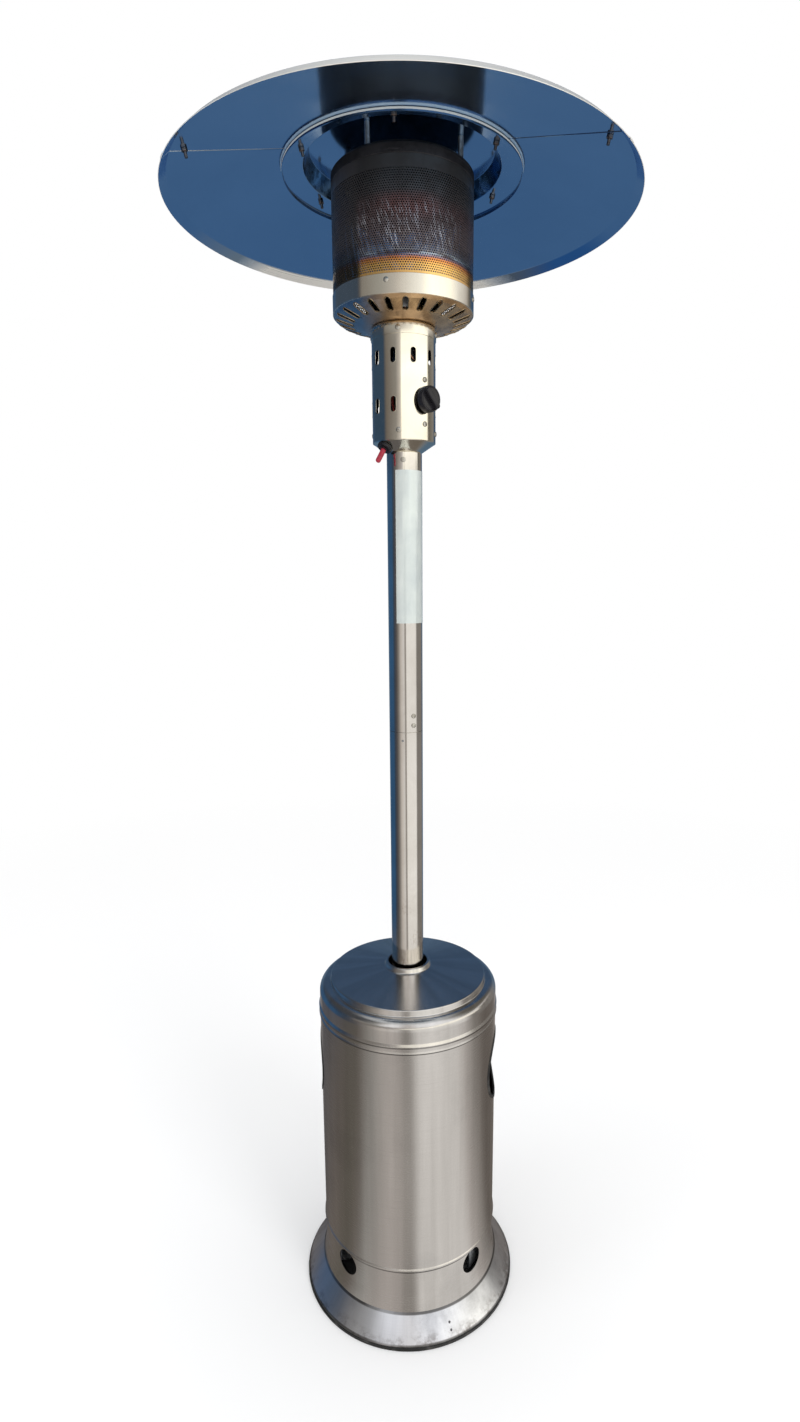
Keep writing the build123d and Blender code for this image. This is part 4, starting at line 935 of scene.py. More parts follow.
def painted_black():
    """Black paint with an orange-peel skin and chips of dust."""
    finish = Finish("black_painted_steel")
    peel = finish.noise(420.0, detail=2)
    dust = finish.noise(14.0, detail=7, rough=0.65)
    colour = finish.mix(finish.between(dust, 0.5, 0.75), (0.018, 0.018, 0.019), (0.085, 0.08, 0.07))
    rough = dust * 0.35 + 0.3
    finish.bump(peel, 0.2, 0.0003)
    return finish.done(colour, rough)


def black_rubber():
    """Matt rubber with fine grain and pale dust."""
    finish = Finish("black_rubber")
    grain = finish.noise(900.0, detail=2)
    dust = finish.noise(40.0, detail=6)
    colour = finish.mix(finish.between(dust, 0.52, 0.75), (0.014, 0.014, 0.014), (0.07, 0.065, 0.06))
    rough = grain * 0.2 + 0.55
    finish.bump(grain, 0.2, 0.0002)
    return finish.done(colour, rough)


def moulded_plastic(name, tint, dark, rough_at):
    """Moulded plastic with a fine skin, rub marks and finger smears."""
    finish = Finish(name)
    skin = finish.noise(1500.0, detail=2)
    smears = finish.noise(60.0, detail=5, distortion=0.8)
    colour = finish.mix(finish.between(smears, 0.35, 0.7), tint, dark)
    rough = smears * 0.22 + rough_at
    finish.bump(skin, 0.05, 0.0001)
    finish.bump(finish.noise(160.0, detail=3), 0.06, 0.0003)
    return finish.done(
        colour, rough, Coat_Weight=0.08, Coat_Roughness=0.15, Specular_IOR_Level=0.3
    )


def plain_film():
    """Milky plastic film that has been stuck round the pole, with faint ripples and a painted sheen along
    them.
    """
    finish = Finish("clear_film")
    around = finish.wrapped(0.033)
    ripples = finish.noise(1.0, stretch=(120, 1, 9), detail=3, place=around)
    clouds = finish.noise(30.0, detail=5)
    colour = finish.mix(finish.between(clouds, 0.35, 0.7), (0.64, 0.69, 0.66), (0.56, 0.61, 0.60))
    # The ripples are creases as bumps; the lighter tone along them is a painted sheen.
    colour = finish.mix(finish.between(ripples, 0.55, 0.8) * 0.4, colour, (0.74, 0.77, 0.76))
    finish.bump(ripples, 0.25, 0.0006)
    finish.bump(finish.noise(70.0, detail=2), 0.15, 0.0006)
    rough = clouds * 0.2 + 0.12
    return finish.done(colour, rough, 0.25, Coat_Weight=0.6, Coat_Roughness=0.08)


def bare_metal(name, tint, dark, rough_at=0.28):
    """Machined or drawn metal with dulled patches and fine marks."""
    finish = Finish(name)
    dull = finish.noise(90.0, detail=5)
    marks = finish.noise(1200.0, detail=2)
    colour = finish.mix(finish.between(dull, 0.4, 0.68), tint, dark)
    rough = dull * 0.25 + rough_at
    finish.bump(marks, 0.08, 0.0001)
    return finish.done(colour, rough, 1.0)


def soft_cover(name, tint, dark, rough_at=0.45):
    """Ceramic or silicone: even, with faint mottling."""
    finish = Finish(name)
    mottle = finish.noise(200.0, detail=4)
    colour = finish.mix(finish.between(mottle, 0.35, 0.7), tint, dark)
    rough = mottle * 0.2 + rough_at
    finish.bump(mottle, 0.08, 0.0001)
    return finish.done(colour, rough)


# The housing's painted shadow lines lie under its foot seam and under its lap beads.
housing_steel = brushed_steel(
    "brushed_stainless", (0.77, 0.74, 0.705), (0.57, 0.545, 0.515), 0.20, 0.32, wear=0.15,
    shadow_lines=((0.1388, 0.1412, 0.9), (0.6205, 0.6225, 0.9), (0.6338, 0.6358, 0.6)), polish=0.636,
)
# The skirt's painted shadow lines lie where the housing's foot meets it and just above the edging.
skirt_steel = brushed_steel(
    "scuffed_stainless", (0.93, 0.935, 0.96), (0.66, 0.665, 0.69), 0.22, 0.40, wear=0.55,
    shadow_lines=((0.0485, 0.0525, 0.85), (0.008, 0.0105, 0.8)), rust=0.6,
)
pole_steel = polished_steel(
    "polished_stainless", (0.80, 0.765, 0.715), (0.64, 0.60, 0.55), specks=0.9, speck_height=0.72
)
head_steel = polished_steel("golden_stainless", (0.92, 0.885, 0.78), (0.80, 0.745, 0.63), smudges=0.6)
bowl_steel = stained_steel()
screen_steel = heat_tinted_steel()
cap_steel = sooted_steel()
reflector_metal = reflector_sheet()
zinc = galvanised_steel()
paint = painted_black()
rubber = black_rubber()
knob_plastic = moulded_plastic("black_plastic", (0.010, 0.009, 0.011), (0.018, 0.017, 0.020), 0.12)
button_plastic = moulded_plastic("red_plastic", (0.40, 0.035, 0.06), (0.28, 0.02, 0.035), 0.2)
film_plastic = plain_film()
lip_metal = bare_metal("stained_lips", (0.60, 0.46, 0.28), (0.36, 0.26, 0.16), 0.2)
bolt_metal = bare_metal("weathered_bolts", (0.30, 0.25, 0.23), (0.15, 0.12, 0.115))
screw_metal = bare_metal("zinc_screws", (0.66, 0.64, 0.58), (0.45, 0.42, 0.36))
brass_metal = bare_metal("brass", (0.72, 0.52, 0.22), (0.50, 0.35, 0.14))
copper_metal = bare_metal("copper_tube", (0.80, 0.42, 0.26), (0.45, 0.22, 0.13))
ceramic = soft_cover("ceramic", (0.80, 0.78, 0.72), (0.66, 0.63, 0.56), 0.3)
red_silicone = soft_cover("red_silicone", (0.42, 0.06, 0.04), (0.30, 0.035, 0.025))

finishes = {
    "brushed_stainless": housing_steel,
    "polished_stainless": pole_steel,
    "heat_tinted_steel": screen_steel,
    "reflector_aluminium": reflector_metal,
    "black_painted_steel": paint,
    "galvanised_steel": zinc,
    "black_rubber": rubber,
    "black_plastic": knob_plastic,
    "red_plastic": button_plastic,
    "clear_film": film_plastic,
    "zinc_screws": screw_metal,
    "brass": brass_metal,
    "copper_tube": copper_metal,
    "ceramic": ceramic,
    "red_silicone": red_silicone,
}

# The pieces of the CAD model that stay get their slot's finish
slot_of = {entry["node"]: entry["material_slot"] for entry in frame["record"]["subparts"]}


def wear_finish(piece, finish):
    """Gives a piece one finish all over."""
    piece.data.materials.clear()
    piece.data.materials.append(finish)
    for face in piece.data.polygons:
        face.material_index = 0


for name, node in nodes.items():
    wear_finish(node, finishes[slot_of[name]])


def stands_for(piece, *replaced, finish=None):
    """The piece rides on the body of the CAD solids that it replaces, hides them, and wears the finish it is
    given.
    """
    if finish:
        wear_finish(piece, finish)
    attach(piece, nodes[replaced[0]]["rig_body"])
    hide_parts(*replaced)


# Base

edging_out, edging_in, edging_top = 225.0, 220.4, 7.0
groove_out, groove_in, groove_low = 223.4, 222.0, 1.5
edging_outline = [
    (edging_in, 0.7), (edging_in + 0.7, 0.0), (edging_out - 0.7, 0.0), (edging_out, 0.7),
    (edging_out, edging_top - 0.8), (edging_out - 0.8, edging_top),
    (groove_out, edging_top), (groove_out, groove_low), (groove_in, groove_low), (groove_in, edging_top),
    (edging_in + 0.8, edging_top), (edging_in, edging_top - 0.8),
]
stands_for(spun("edging", edging_outline, 256), "base_edging", finish=rubber)

rim_radius, rim_height = 222.7, 9.0
deck_radius, deck_height, deck_hole = 174.0, 66.0, 128.0
skirt_line = [
    (rim_radius, 1.6), (rim_radius, rim_height), (deck_radius, deck_height), (deck_hole, deck_height),
]
skirt = spun_sheet("skirt", skirt_line, 1.2, [3, 3], 256)


def drill(radius, reach, segments, place, axis):
    """A round drill to cut with, through a place."""
    outline = [(0, -reach), (radius, -reach), (radius, reach), (0, reach)]
    return turned("drill", outline, segments, place, axis)


empty_holes_azimuth, empty_hole_radii = 292.7, (205.2, 213.8)
slope_out = Vector((deck_height - rim_height, rim_radius - deck_radius)).normalized()
square = outward(empty_holes_azimuth) * slope_out.x + Vector((0, 0, slope_out.y))
for radius in empty_hole_radii:
    share = (rim_radius - radius) / (rim_radius - deck_radius)
    centre = point_at(empty_holes_azimuth, radius, rim_height + share * (deck_height - rim_height))
    cut(skirt, drill(2.5, 4, 32, centre, square))
stands_for(skirt, "base_skirt", finish=skirt_steel)

plate_bottom, plate_top = 66.6, 71.6
plate_radius, plate_chamfer = 168, 1.25
deck_outline = [
    (0, plate_bottom), (plate_radius, plate_bottom), (plate_radius, plate_top - plate_chamfer),
    (plate_radius - plate_chamfer, plate_top), (0, plate_top),
]
stands_for(spun("cylinder_deck", deck_outline, 192), "deck_plate", finish=paint)

leg_azimuths = (84, 204, 324)
leg_width, leg_thickness, leg_reach = 38, 4, 167
leg_low, leg_high = 73.6, 606
leg_line = [(130, leg_low), (leg_reach, leg_low), (leg_reach, leg_high), (44, leg_high)]
leg_outline = sheet_outline(leg_line, leg_thickness, [12, 12])
for number, azimuth in enumerate(leg_azimuths, 1):
    aside = outward(azimuth + 90)
    upright = frame_at(aside * (leg_width / 2), outward(azimuth), -aside)
    leg = prism("leg_" + str(number), leg_outline, leg_width, upright, bevel=0.7)
    stands_for(leg, "support_leg_" + str(number), finish=zinc)

# Pole

pole_radius, pole_inner = 32.5, 31.3
flange_bottom, flange_top = span("pole_flange")[0], 614.0
flange_radius, flange_hole = 78, 22
spigot_out, spigot_in, spigot_top = 31.2, 28.2, 660
flange_outline = [
    (flange_hole, flange_bottom), (flange_radius - 1, flange_bottom), (flange_radius, flange_bottom + 1),
    (flange_radius, flange_top - 1), (flange_radius - 1, flange_top), (spigot_out, flange_top),
    (spigot_out, spigot_top), (spigot_in, spigot_top), (spigot_in, flange_top), (flange_hole, flange_top),
]
stands_for(spun("flange", flange_outline, 128), "pole_flange", finish=zinc)


def tube(name, outer, inner, bottom, top, segments=128):
    """A tube about the pole's axis with softened ends."""
    edge = 0.3
    outline = [
        (inner, bottom), (outer - edge, bottom), (outer, bottom + edge),
        (outer, top - edge), (outer - edge, top), (inner, top),
    ]
    return spun(name, outline, segments)


gauge_azimuth, gauge_drop = 257.8, 15.8
lower_tube = tube("lower_tube", pole_radius, pole_inner, *span("lower_pole"))
gauge_place = point_at(gauge_azimuth, pole_radius, span("lower_pole")[1] - gauge_drop)
gauge_hole = drill(2.4, 3, 24, gauge_place, outward(gauge_azimuth))
stands_for(cut(lower_tube, gauge_hole), "lower_pole", finish=pole_steel)
upper_tube = tube("upper_tube", pole_radius, pole_inner, *span("upper_pole"))
stands_for(upper_tube, "upper_pole", finish=pole_steel)
stands_for(tube("coupling", 31.2, 29.7, *span("coupling_sleeve")), "coupling_sleeve", finish=zinc)

film_low, film_high = span("pole_film")
film_in, film_out = pole_radius + 0.05, pole_radius + 0.45
film_start, film_sweep, film_steps = 240, 150, 60
film_outline = [
    (film_in, film_low), (film_out - 0.1, film_low), (film_out, film_low + 0.3),
    (film_out, film_high - 0.3), (film_out - 0.1, film_high), (film_in, film_high),
]
film_columns = [(film_start + film_sweep * k / film_steps, film_outline) for k in range(film_steps + 1)]
stands_for(through_columns("film", film_columns, False), "pole_film", finish=film_plastic)

# Head

control_radius, head_sheet = 57.4, 1.0
control_bottom, control_end = span("control_housing")
cup_radius, cup_neck, cup_neck_height = 55.8, 30.7, 1725.6
cup_line = [
    (cup_radius, control_bottom + 20), (cup_radius, control_bottom), (cup_neck, cup_neck_height),
    (cup_neck, 1690.7),
]
stands_for(spun_sheet("cup", cup_line, head_sheet, [2.5, 2.5], 160), "head_cup", finish=head_steel)

housing = tube("head_housing", control_radius, control_radius - head_sheet, control_bottom, control_end, 240)


def punched(piece, places, punch, finish):
    """Punches the same hole through a piece at places, each a frame, and gives it a finish."""
    mesh = bpy.data.meshes.new("places")
    mesh.from_pydata([tuple(place.translation * mm) for place in places], [], [])
    rotation = mesh.attributes.new("rotation", "FLOAT_VECTOR", "POINT")
    for k, place in enumerate(places):
        rotation.data[k].vector = place.to_euler()
    points = bpy.data.objects.new("places", mesh)
    scene.collection.objects.link(points)
    name = piece.name
    run_tree(name, punch_tree_made, piece, {"Places": points, "Punch": punch, "Finish": finish})
    bpy.data.objects.remove(points)
    bpy.data.objects.remove(punch)
    tidy_mesh(piece.data, outwards=False)
    return piece


punch_tree_made = punch_tree()
copies_tree_made = copies_tree()
knob_azimuth, knob_height = 310, 1809.4
slot_azimuths = [215 + 36 * k for k in range(10)]
beside_knob = [a for a in slot_azimuths if abs(a - knob_azimuth) > 25]
slot_rows = ((slot_azimuths, 1881.9, 25), (beside_knob, 1801.4, 26))


def slot_punch(length, width, depth=10, turned_up=True):
    """A slot's shape to punch, through the sheet along Z."""
    low = Matrix.Translation((0, 0, -depth / 2))
    return prism("punch", slot_outline(length, width, turned_up), depth, low)


def slot_rim(azimuth, height, length):
    """The rolled rim of an upright slot in the control housing."""
    ring = []
    for x, y in slot_outline(length + 0.5, 10.0, turned_up=True, steps=8):
        ring.append(point_at(azimuth + degrees(x / control_radius), control_radius, height + y))
    return beaded("rim", ring, 0.45)


rims = []
for azimuths, height, length in slot_rows:
    places = [radial_frame(a, control_radius, height) for a in azimuths]
    punched(housing, places, slot_punch(length, 9.5), head_steel)
    rims += [slot_rim(a, height, length) for a in azimuths]
knob_hole = prism("punch", oval_outline(28, 28, 48), 20, Matrix.Translation((0, 0, -10)))
punched(housing, [radial_frame(knob_azimuth, control_radius, knob_height)], knob_hole, head_steel)
stands_for(join("head_housing", [housing] + rims), "control_housing", finish=head_steel)


def lead_way(height):
    """The slot that the leads come up through, to cut with."""
    azimuth, radius = 272, 46
    low = frame_at(point_at(azimuth, radius, height), outward(azimuth + 90), up)
    return prism("drill", slot_outline(20, 8.5), 12, low)


collar_radius, collar_low, collar_top, collar_hole = 58, 1916.4, 1937.2, 30
collar_line = [(collar_radius, collar_low), (collar_radius, collar_top), (collar_hole, collar_top)]
head_cap = spun_sheet("head_cap", collar_line, head_sheet, [4.5], 160)
stands_for(cut(head_cap, lead_way(1931)), "head_collar", finish=head_steel)

# Bowl, band, screen and cap of the emitter

bowl_line = [
    (123.3, 1972.1), (123.3, 1958.1), (117.5, 1952.6), (90, 1943.5), (62, 1938.6), (30, 1938.6),
]
bowl = spun_sheet("bowl", bowl_line, 1.2, [1.5, 1.5, 1.5, 1.5], 240)
bowl_slot_azimuths = [272 + 15 * k for k in range(24)]
bowl_slot_radius = 104.5
bowl_slots = [frame_at(point_at(a, bowl_slot_radius, 1947), outward(a), up) for a in bowl_slot_azimuths]
punched(bowl, bowl_slots, slot_punch(30, 9, 24, turned_up=False), bowl_steel)
cut(bowl, lead_way(1932))


def bowl_under(radius):
    """Height of the bowl's lower face at a radius."""
    for (outer, high), (inner, low) in zip(bowl_line, bowl_line[1:]):
        if inner <= radius <= outer and outer > inner:
            return low + (high - low) * (radius - inner) / (outer - inner) - 0.6
    return bowl_line[0][1]


slot_lips = []
for azimuth in bowl_slot_azimuths:
    ring = []
    for x, y in slot_outline(31.0, 10.0, steps=8):
        place = point_at(azimuth, bowl_slot_radius + x, 0) + outward(azimuth + 90) * y
        ring.append(Vector((place.x, place.y, bowl_under(place.length))))
    slot_lips.append(beaded("slot_lip", ring, 0.85))
stands_for(bowl, "burner_bowl", finish=bowl_steel)
stands_for(join("slot_lips", slot_lips), "burner_bowl", finish=lip_metal)

band_low, band_high = span("emitter_band")
band_radius = 125.0
band_outline = [
    (band_radius - 1, band_low), (band_radius - 0.3, band_low), (band_radius, band_low + 0.4),
    (band_radius, band_high - 0.4), (band_radius - 0.3, band_high), (band_radius - 1, band_high),
]
stands_for(spun("band", band_outline, 256), "emitter_band", finish=head_steel)

screen_low, screen_high = span("emitter_screen")
screen_tree = perforation_tree()
screen_middle = (screen_low + screen_high) / 2
screen_rows, plain_edge = 27, 19
for name, low, high, foot_edge, head_edge, first_row in (
    ("screen_foot", screen_low, screen_middle, plain_edge, 0, 0),
    ("screen_head", screen_middle, screen_high, 0, plain_edge, screen_rows),
):
    seed = new_piece("seed", [(0, 0, 0), (1, 0, 0), (0, 1, 0)], [(0, 1, 2)])
    ring_sizes = {
        "Radius": 123.9 * mm,
        "Bottom": low * mm,
        "Top": high * mm,
        "Plain Foot": foot_edge * mm,
        "Plain Head": head_edge * mm,
        "Columns": 190,
        "Rows": screen_rows + 1,
        "First Row": first_row,
        "Open Share": 0.6,
        "Thickness": 1 * mm,
        "Finish": screen_steel,
    }
    screen_ring = run_tree(name, screen_tree, seed, ring_sizes)
    tidy_mesh(screen_ring.data, 30)
    stands_for(screen_ring, "emitter_screen", finish=screen_steel)

cap_sheet, cap_top = 1.2, 2184.1
cap_line = [
    (122.2, 2151.1), (122.2, 2162.5), (123.3, 2163.6), (123.3, 2177.5),
    (117.3, cap_top - cap_sheet / 2), (0, cap_top - cap_sheet / 2),
]
lid = spun_sheet("emitter_lid", cap_line, cap_sheet, [0.3, 0.3, 2, 2], 200)
stands_for(lid, "emitter_cap", finish=cap_steel)

stud_azimuths = [240 + 90 * k for k in range(4)]
stud_circle = 112
stud_outline = [
    (0, -10), (2.6, -10), (3, -9.6), (3, 0), (4.1, 0), (4.5, 0.4), (4.5, 33.6), (4.1, 34),
    (3, 34), (3, 50.5), (2.5, 51), (0, 51),
]
studs = [turned("stud", stud_outline, 32, point_at(a, stud_circle, cap_top)) for a in stud_azimuths]
stands_for(join("studs", studs), "standoff_studs", finish=zinc)

# Reflector

slope_degrees = 12.74
reflector_slope = radians(slope_degrees)
rise = tan(reflector_slope)
plate_bend_radius, plate_bend_height = 171.0, 2191.1
hub_height = 2218.7


def plate_height(radius):
    """Middle of the centre plate's ring at a radius."""
    return plate_bend_height - (radius - plate_bend_radius) * rise


plate_sheet, plate_edge, plate_lip = 1.2, 206.4, 6
cone_gap = plate_sheet / cos(reflector_slope)
plate_line = [
    (plate_edge, plate_height(plate_edge) - plate_lip), (plate_edge, plate_height(plate_edge)),
    (plate_bend_radius, plate_bend_height), (160, hub_height), (0, hub_height),
]
centre_disc = spun_sheet("centre_disc", plate_line, plate_sheet, [1.5, 1.5, 1.5], 240)
stands_for(centre_disc, "centre_plate", finish=reflector_metal)

seam_azimuths = [seam_left, 325, 85]
panel_inner, panel_middle, lip_radius, panel_rim = 175, 300, 393.0, 406.0
lip_degrees = 45
lap_lift = 1.1
half_turn = radians((lip_degrees - slope_degrees) / 2)
lean = radians((lip_degrees + slope_degrees) / 2)


def panel_outline(lift):
    """A panel's section, moved out square to the sheet."""
    across, rise_up = lift / cos(half_turn) * sin(lean), lift / cos(half_turn) * cos(lean)
    line = [
        (radius + across, plate_height(radius) + cone_gap + rise_up)
        for radius in (panel_inner, panel_middle, lip_radius)
    ]
    rim = plate_height(lip_radius) + cone_gap - (panel_rim - lip_radius)
    return sheet_outline([*line, (panel_rim + across, rim + rise_up)], 1.0, [0, 3])


# At the next seam a panel rises over its neighbour: degrees past the seam, and share of the lift
lap = ((-0.42, 0.06), (-0.3, 0.3), (-0.2, 0.65), (-0.1, 0.93), (0.02, 1.0), (1.2, 1.0), (2.425, 1.0))
flat_start, flat_end, flat_steps = 0.12, 119.3, 84
for number, azimuth in enumerate(seam_azimuths, 1):
    columns = []
    for k in range(flat_steps + 1):
        turn = flat_start + (flat_end - flat_start) * k / flat_steps
        columns.append((azimuth + turn, panel_outline(0)))
    columns += [(azimuth + 120 + turn, panel_outline(lap_lift * share)) for turn, share in lap]
    panel = through_columns("panel_" + str(number), columns, False)
    stands_for(panel, "reflector_panel_" + str(number), finish=reflector_metal)

# Fasteners


def fasteners(name, node, prototype, places, turns=None, finish=screw_metal):
    """One kind of fastener at places, each a point and the way its head faces."""
    points = points_piece(
        name, [p[0] for p in places], [p[1] for p in places], turns or [0] * len(places)
    )
    run_tree(name, copies_tree_made, points, {"Fastener": prototype, "Size": 1.0, "Finish": finish})
    bpy.data.objects.remove(prototype)
    tidy_mesh(points.data, 30)
    stands_for(points, node, finish=finish)


def pan_screw():
    """A pan-head screw with a cross in its head, its seat at the origin."""
    head = [
        (0, -6), (1.9, -6), (2.4, -5.3), (2.4, 0), (4.6, 0), (4.6, 0.5), (4.3, 1.2), (3.4, 1.8),
        (1.9, 2.15), (0, 2.2),
    ]
    screw = turned("pan_screw", head, 32)
    for turn in (0, 90):
        bar = frame_at((0, 0, 1.0), outward(turn), up)
        cut(screw, prism("cross", [(-2.3, -0.45), (2.3, -0.45), (2.3, 0.45), (-2.3, 0.45)], 2, bar), 30)
    return screw


def hexagon(radius):
    """The corners of a hexagon."""
    return [(radius * cos(radians(60 * k)), radius * sin(radians(60 * k))) for k in range(6)]


def hex_bolt(radius, height, shank, length):
    """A hex-head bolt, its seat at the origin and its shank down."""
    head = prism("hex_bolt", hexagon(radius), height, Matrix.Identity(4), bevel=0.5)
    outline = [(0, -length), (shank - 0.5, -length), (shank, 0.5 - length), (shank, 0.3), (0, 0.3)]
    return join("hex_bolt", [head, turned("shank", outline, 24)])


def hex_nut(radius, height, bore):
    """A hex nut below the origin."""
    nut = prism("hex_nut", hexagon(radius), -height, Matrix.Identity(4), bevel=0.5)
    outline = [(0, -height - 1), (bore, -height - 1), (bore, 1), (0, 1)]
    return cut(nut, turned("bore", outline, 32))


def domed_head(radius, height, shank, length):
    """A domed bolt or rivet, its seat at the origin."""
    dome = [(0, -length), (shank, -length), (shank, 0), (radius, 0), (radius, 0.25 * height)]
    for k in range(1, 7):
        angle = pi / 2 * k / 6
        dome.append((radius * cos(angle), height * (0.25 + 0.75 * sin(angle))))
    return turned("domed_head", dome, 32)


def wing_nut():
    """A wing nut, its seat at the origin and its wings along X."""
    hub = turned("hub", [(3.1, 0), (6, 0), (5.2, 7), (4.7, 7.5), (3.1, 7.5)], 32)
    work = bmesh.new()
    work.from_mesh(hub.data)
    bmesh.ops.holes_fill(work, edges=[e for e in work.edges if len(e.link_faces) == 1], sides=0)
    work.to_mesh(hub.data)
    work.free()
    upright = frame_at((0, 1.1, 0), (1, 0, 0), (0, -1, 0))
    pieces = [hub]
    for side in (1, -1):
        wing = [
            (side * (7 + 6.8 * cos(radians(a))), 7.2 + 6.8 * sin(radians(a)))
            for a in range(0, 360, 12)
        ]
        pieces.append(prism("wing", wing, 2.2, upright, bevel=0.6))
    return join("wing_nut", pieces)


def radial(azimuth, radius, height):
    """A place on a round wall and the way it faces."""
    return point_at(azimuth, radius + 0.1, height), outward(azimuth)


def level_ring(azimuths, radius, height):
    """Places on a level face, each facing up."""
    return [(point_at(a, radius, height), up) for a in azimuths]


def on_panel(azimuth, radius, lift):
    """A place on a reflector panel, raised square to it, and the way the panel faces."""
    normal = outward(azimuth) * sin(reflector_slope) + up * cos(reflector_slope)
    middle = point_at(azimuth, radius, plate_height(radius) + cone_gap)
    return middle + normal * lift, normal


pole_places = [radial(a, pole_radius, 641.6) for a in (144, 264, 24)]
pole_places += [radial(a, pole_radius, h) for a in (296.5, 116.5) for h in (1222.4, 1240.9)]
pole_places += [radial(a, pole_radius, 1711.1) for a in (266, 26, 146)]
fasteners("pole_fixings", "pole_screws", pan_screw(), pole_places, [k * 37 for k in range(10)])
quarters = (260, 350, 80, 170)
head_places = [radial(a, control_radius, 1757.9) for a in quarters]
head_places += [radial(a, collar_radius + head_sheet / 2, 1925.4) for a in quarters]
head_places += [radial(knob_azimuth, control_radius, h) for h in (1843.4, 1769.4)]
fasteners("head_fixings", "head_screws", pan_screw(), head_places, [k * 53 for k in range(10)])
band_places = [radial(257 + turn, band_radius, 1978.3) for turn in (0, 90, 180, 270)]
fasteners("rivets", "band_rivets", domed_head(4.2, 2.0, 2.4, 1.2), band_places)

foot_circle, flange_circle = 143, 60
bolt_places = level_ring(leg_azimuths, foot_circle, 75.6)
bolt_places += level_ring(leg_azimuths, flange_circle, flange_top)
fasteners("leg_fixings", "leg_bolts", hex_bolt(7.5, 5.3, 4.0, 20.0), bolt_places)
nut_places = level_ring(leg_azimuths, foot_circle, 65.4)
nut_places += level_ring(leg_azimuths, flange_circle, flange_top - 10)
fasteners("leg_fixing_nuts", "leg_nuts", hex_nut(7.5, 6.5, 4.08), nut_places)

nut_places = level_ring(stud_azimuths, stud_circle, cap_top - cap_sheet)
fasteners("stud_fixings", "stud_nuts", hex_nut(5.8, 5.0, 3.08), nut_places)
wing_places = level_ring(stud_azimuths, stud_circle, hub_height + plate_sheet / 2)
fasteners("wing_fixings", "wing_nuts", wing_nut(), wing_places, [a + 90 for a in stud_azimuths])

seam_bolts = [(a + 1.3, 372) for a in seam_azimuths]
plate_bolts = [(206 + 60 * k, 183) for k in range(6)]
bolt_places = [on_panel(a, r, 0.5 + lap_lift) for a, r in seam_bolts]
bolt_places += [on_panel(a, r, 0.5 + (0 if k % 2 else lap_lift)) for k, (a, r) in enumerate(plate_bolts)]
button_bolt = domed_head(5.0, 2.6, 2.5, 15.0)
fasteners("panel_fixings", "panel_bolts", button_bolt, bolt_places, finish=bolt_metal)
nut_places = [on_panel(a, r, -0.6) for a, r in seam_bolts]
nut_places += [on_panel(a, r, -1.9) for a, r in plate_bolts]
nut_turns = [11 * k for k in range(9)]
panel_nut = hex_nut(5.2, 4.5, 2.58)
fasteners("panel_fixing_nuts", "panel_nuts", panel_nut, nut_places, nut_turns, bolt_metal)

# Cylinder housing

foot_low = span("housing_foot")[0]
foot_radius, flare_radius, flare_bend = 181.4, 187.3, 76.5
foot_line = [(flare_radius, foot_low + 0.1), (foot_radius, 86), (foot_radius, 152)]
foot = spun_sheet("foot", foot_line, 1.0, [flare_bend], 256)
vent_size, vent_height = 51, 114.5
vent_places = [radial_frame(45 + 90 * k, 181, vent_height) for k in range(4)]
vent_punch = prism("punch", oval_outline(vent_size, vent_size, 72), 60, Matrix.Translation((0, 0, -40)))
punched(foot, vent_places, vent_punch, housing_steel)
stands_for(foot, "housing_foot", finish=housing_steel)

side_low, side_high = span("housing_side")
side_out, side_in = 183.0, 182.0
side_outline = [
    (side_in, side_low), (side_out + 0.8, side_low), (side_out + 1.8, side_low + 1.0),
    (side_out + 2.2, side_low + 2.4), (side_out + 1.9, side_low + 3.9), (side_out + 1.1, side_low + 5.3),
    (side_out + 0.3, side_low + 6.2), (side_out, side_low + 7.2), (side_out, side_high - 0.3),
    (side_out - 0.3, side_high), (side_in, side_high),
]
side = spun("side", side_outline, 256)
hand_hole_azimuths, hand_hole_height = (354, 174), 500
hand_hole_width, hand_hole_rise = 134, 142
hand_oval = oval_outline(hand_hole_width, hand_hole_rise, 96)
hand_punch = prism("punch", hand_oval, 110, Matrix.Translation((0, 0, -90)))
hand_places = [radial_frame(a, 190, hand_hole_height) for a in hand_hole_azimuths]
punched(side, hand_places, hand_punch, housing_steel)
stands_for(side, "housing_side", finish=housing_steel)

trim_section = [
    (4, 183.1), (4, 184.1), (3.5, 184.6), (-1.3, 184.6), (-2, 183.9), (-2, 181.1), (-1.3, 180.4),
    (3.5, 180.4), (4, 180.9), (4, 181.9), (-0.1, 181.9), (-0.1, 183.1),
]


def hand_hole_edging(azimuth, steps=144):
    """The edging of a hand hole, its section led round the oval on the round side."""
    verts = []
    for k in range(steps):
        angle = 2 * pi * k / steps
        for grow, radius in trim_section:
            level = (hand_hole_width / 2 + grow) * cos(angle)
            height = hand_hole_height + (hand_hole_rise / 2 + grow) * sin(angle)
            verts.append(point_at(azimuth + degrees(asin(level / radius)), radius, height))
    return new_piece("trim", verts, skin_faces(steps, len(trim_section)), 50)


trims = [hand_hole_edging(a) for a in hand_hole_azimuths]
stands_for(join("hand_hole_edging", trims), "hand_hole_trims", finish=rubber)

top_line = [
    (184.8, 623), (183.7, 626.5), (183.6, 633), (185.0, 637.2), (182.5, 642.5), (182.5, 683), (160, 685),
    (158.5, 697), (47.5, 713.5), (44.5, 722), (40, 722), (40, 713),
]
top_bends = [2.0, 2.0, 1.5, 2.0, 18, 3, 2, 3, 1.5, 1.5]
stands_for(spun_sheet("shoulder", top_line, 1.0, top_bends, 256), "housing_top", finish=housing_steel)

# Knob, igniter and its button

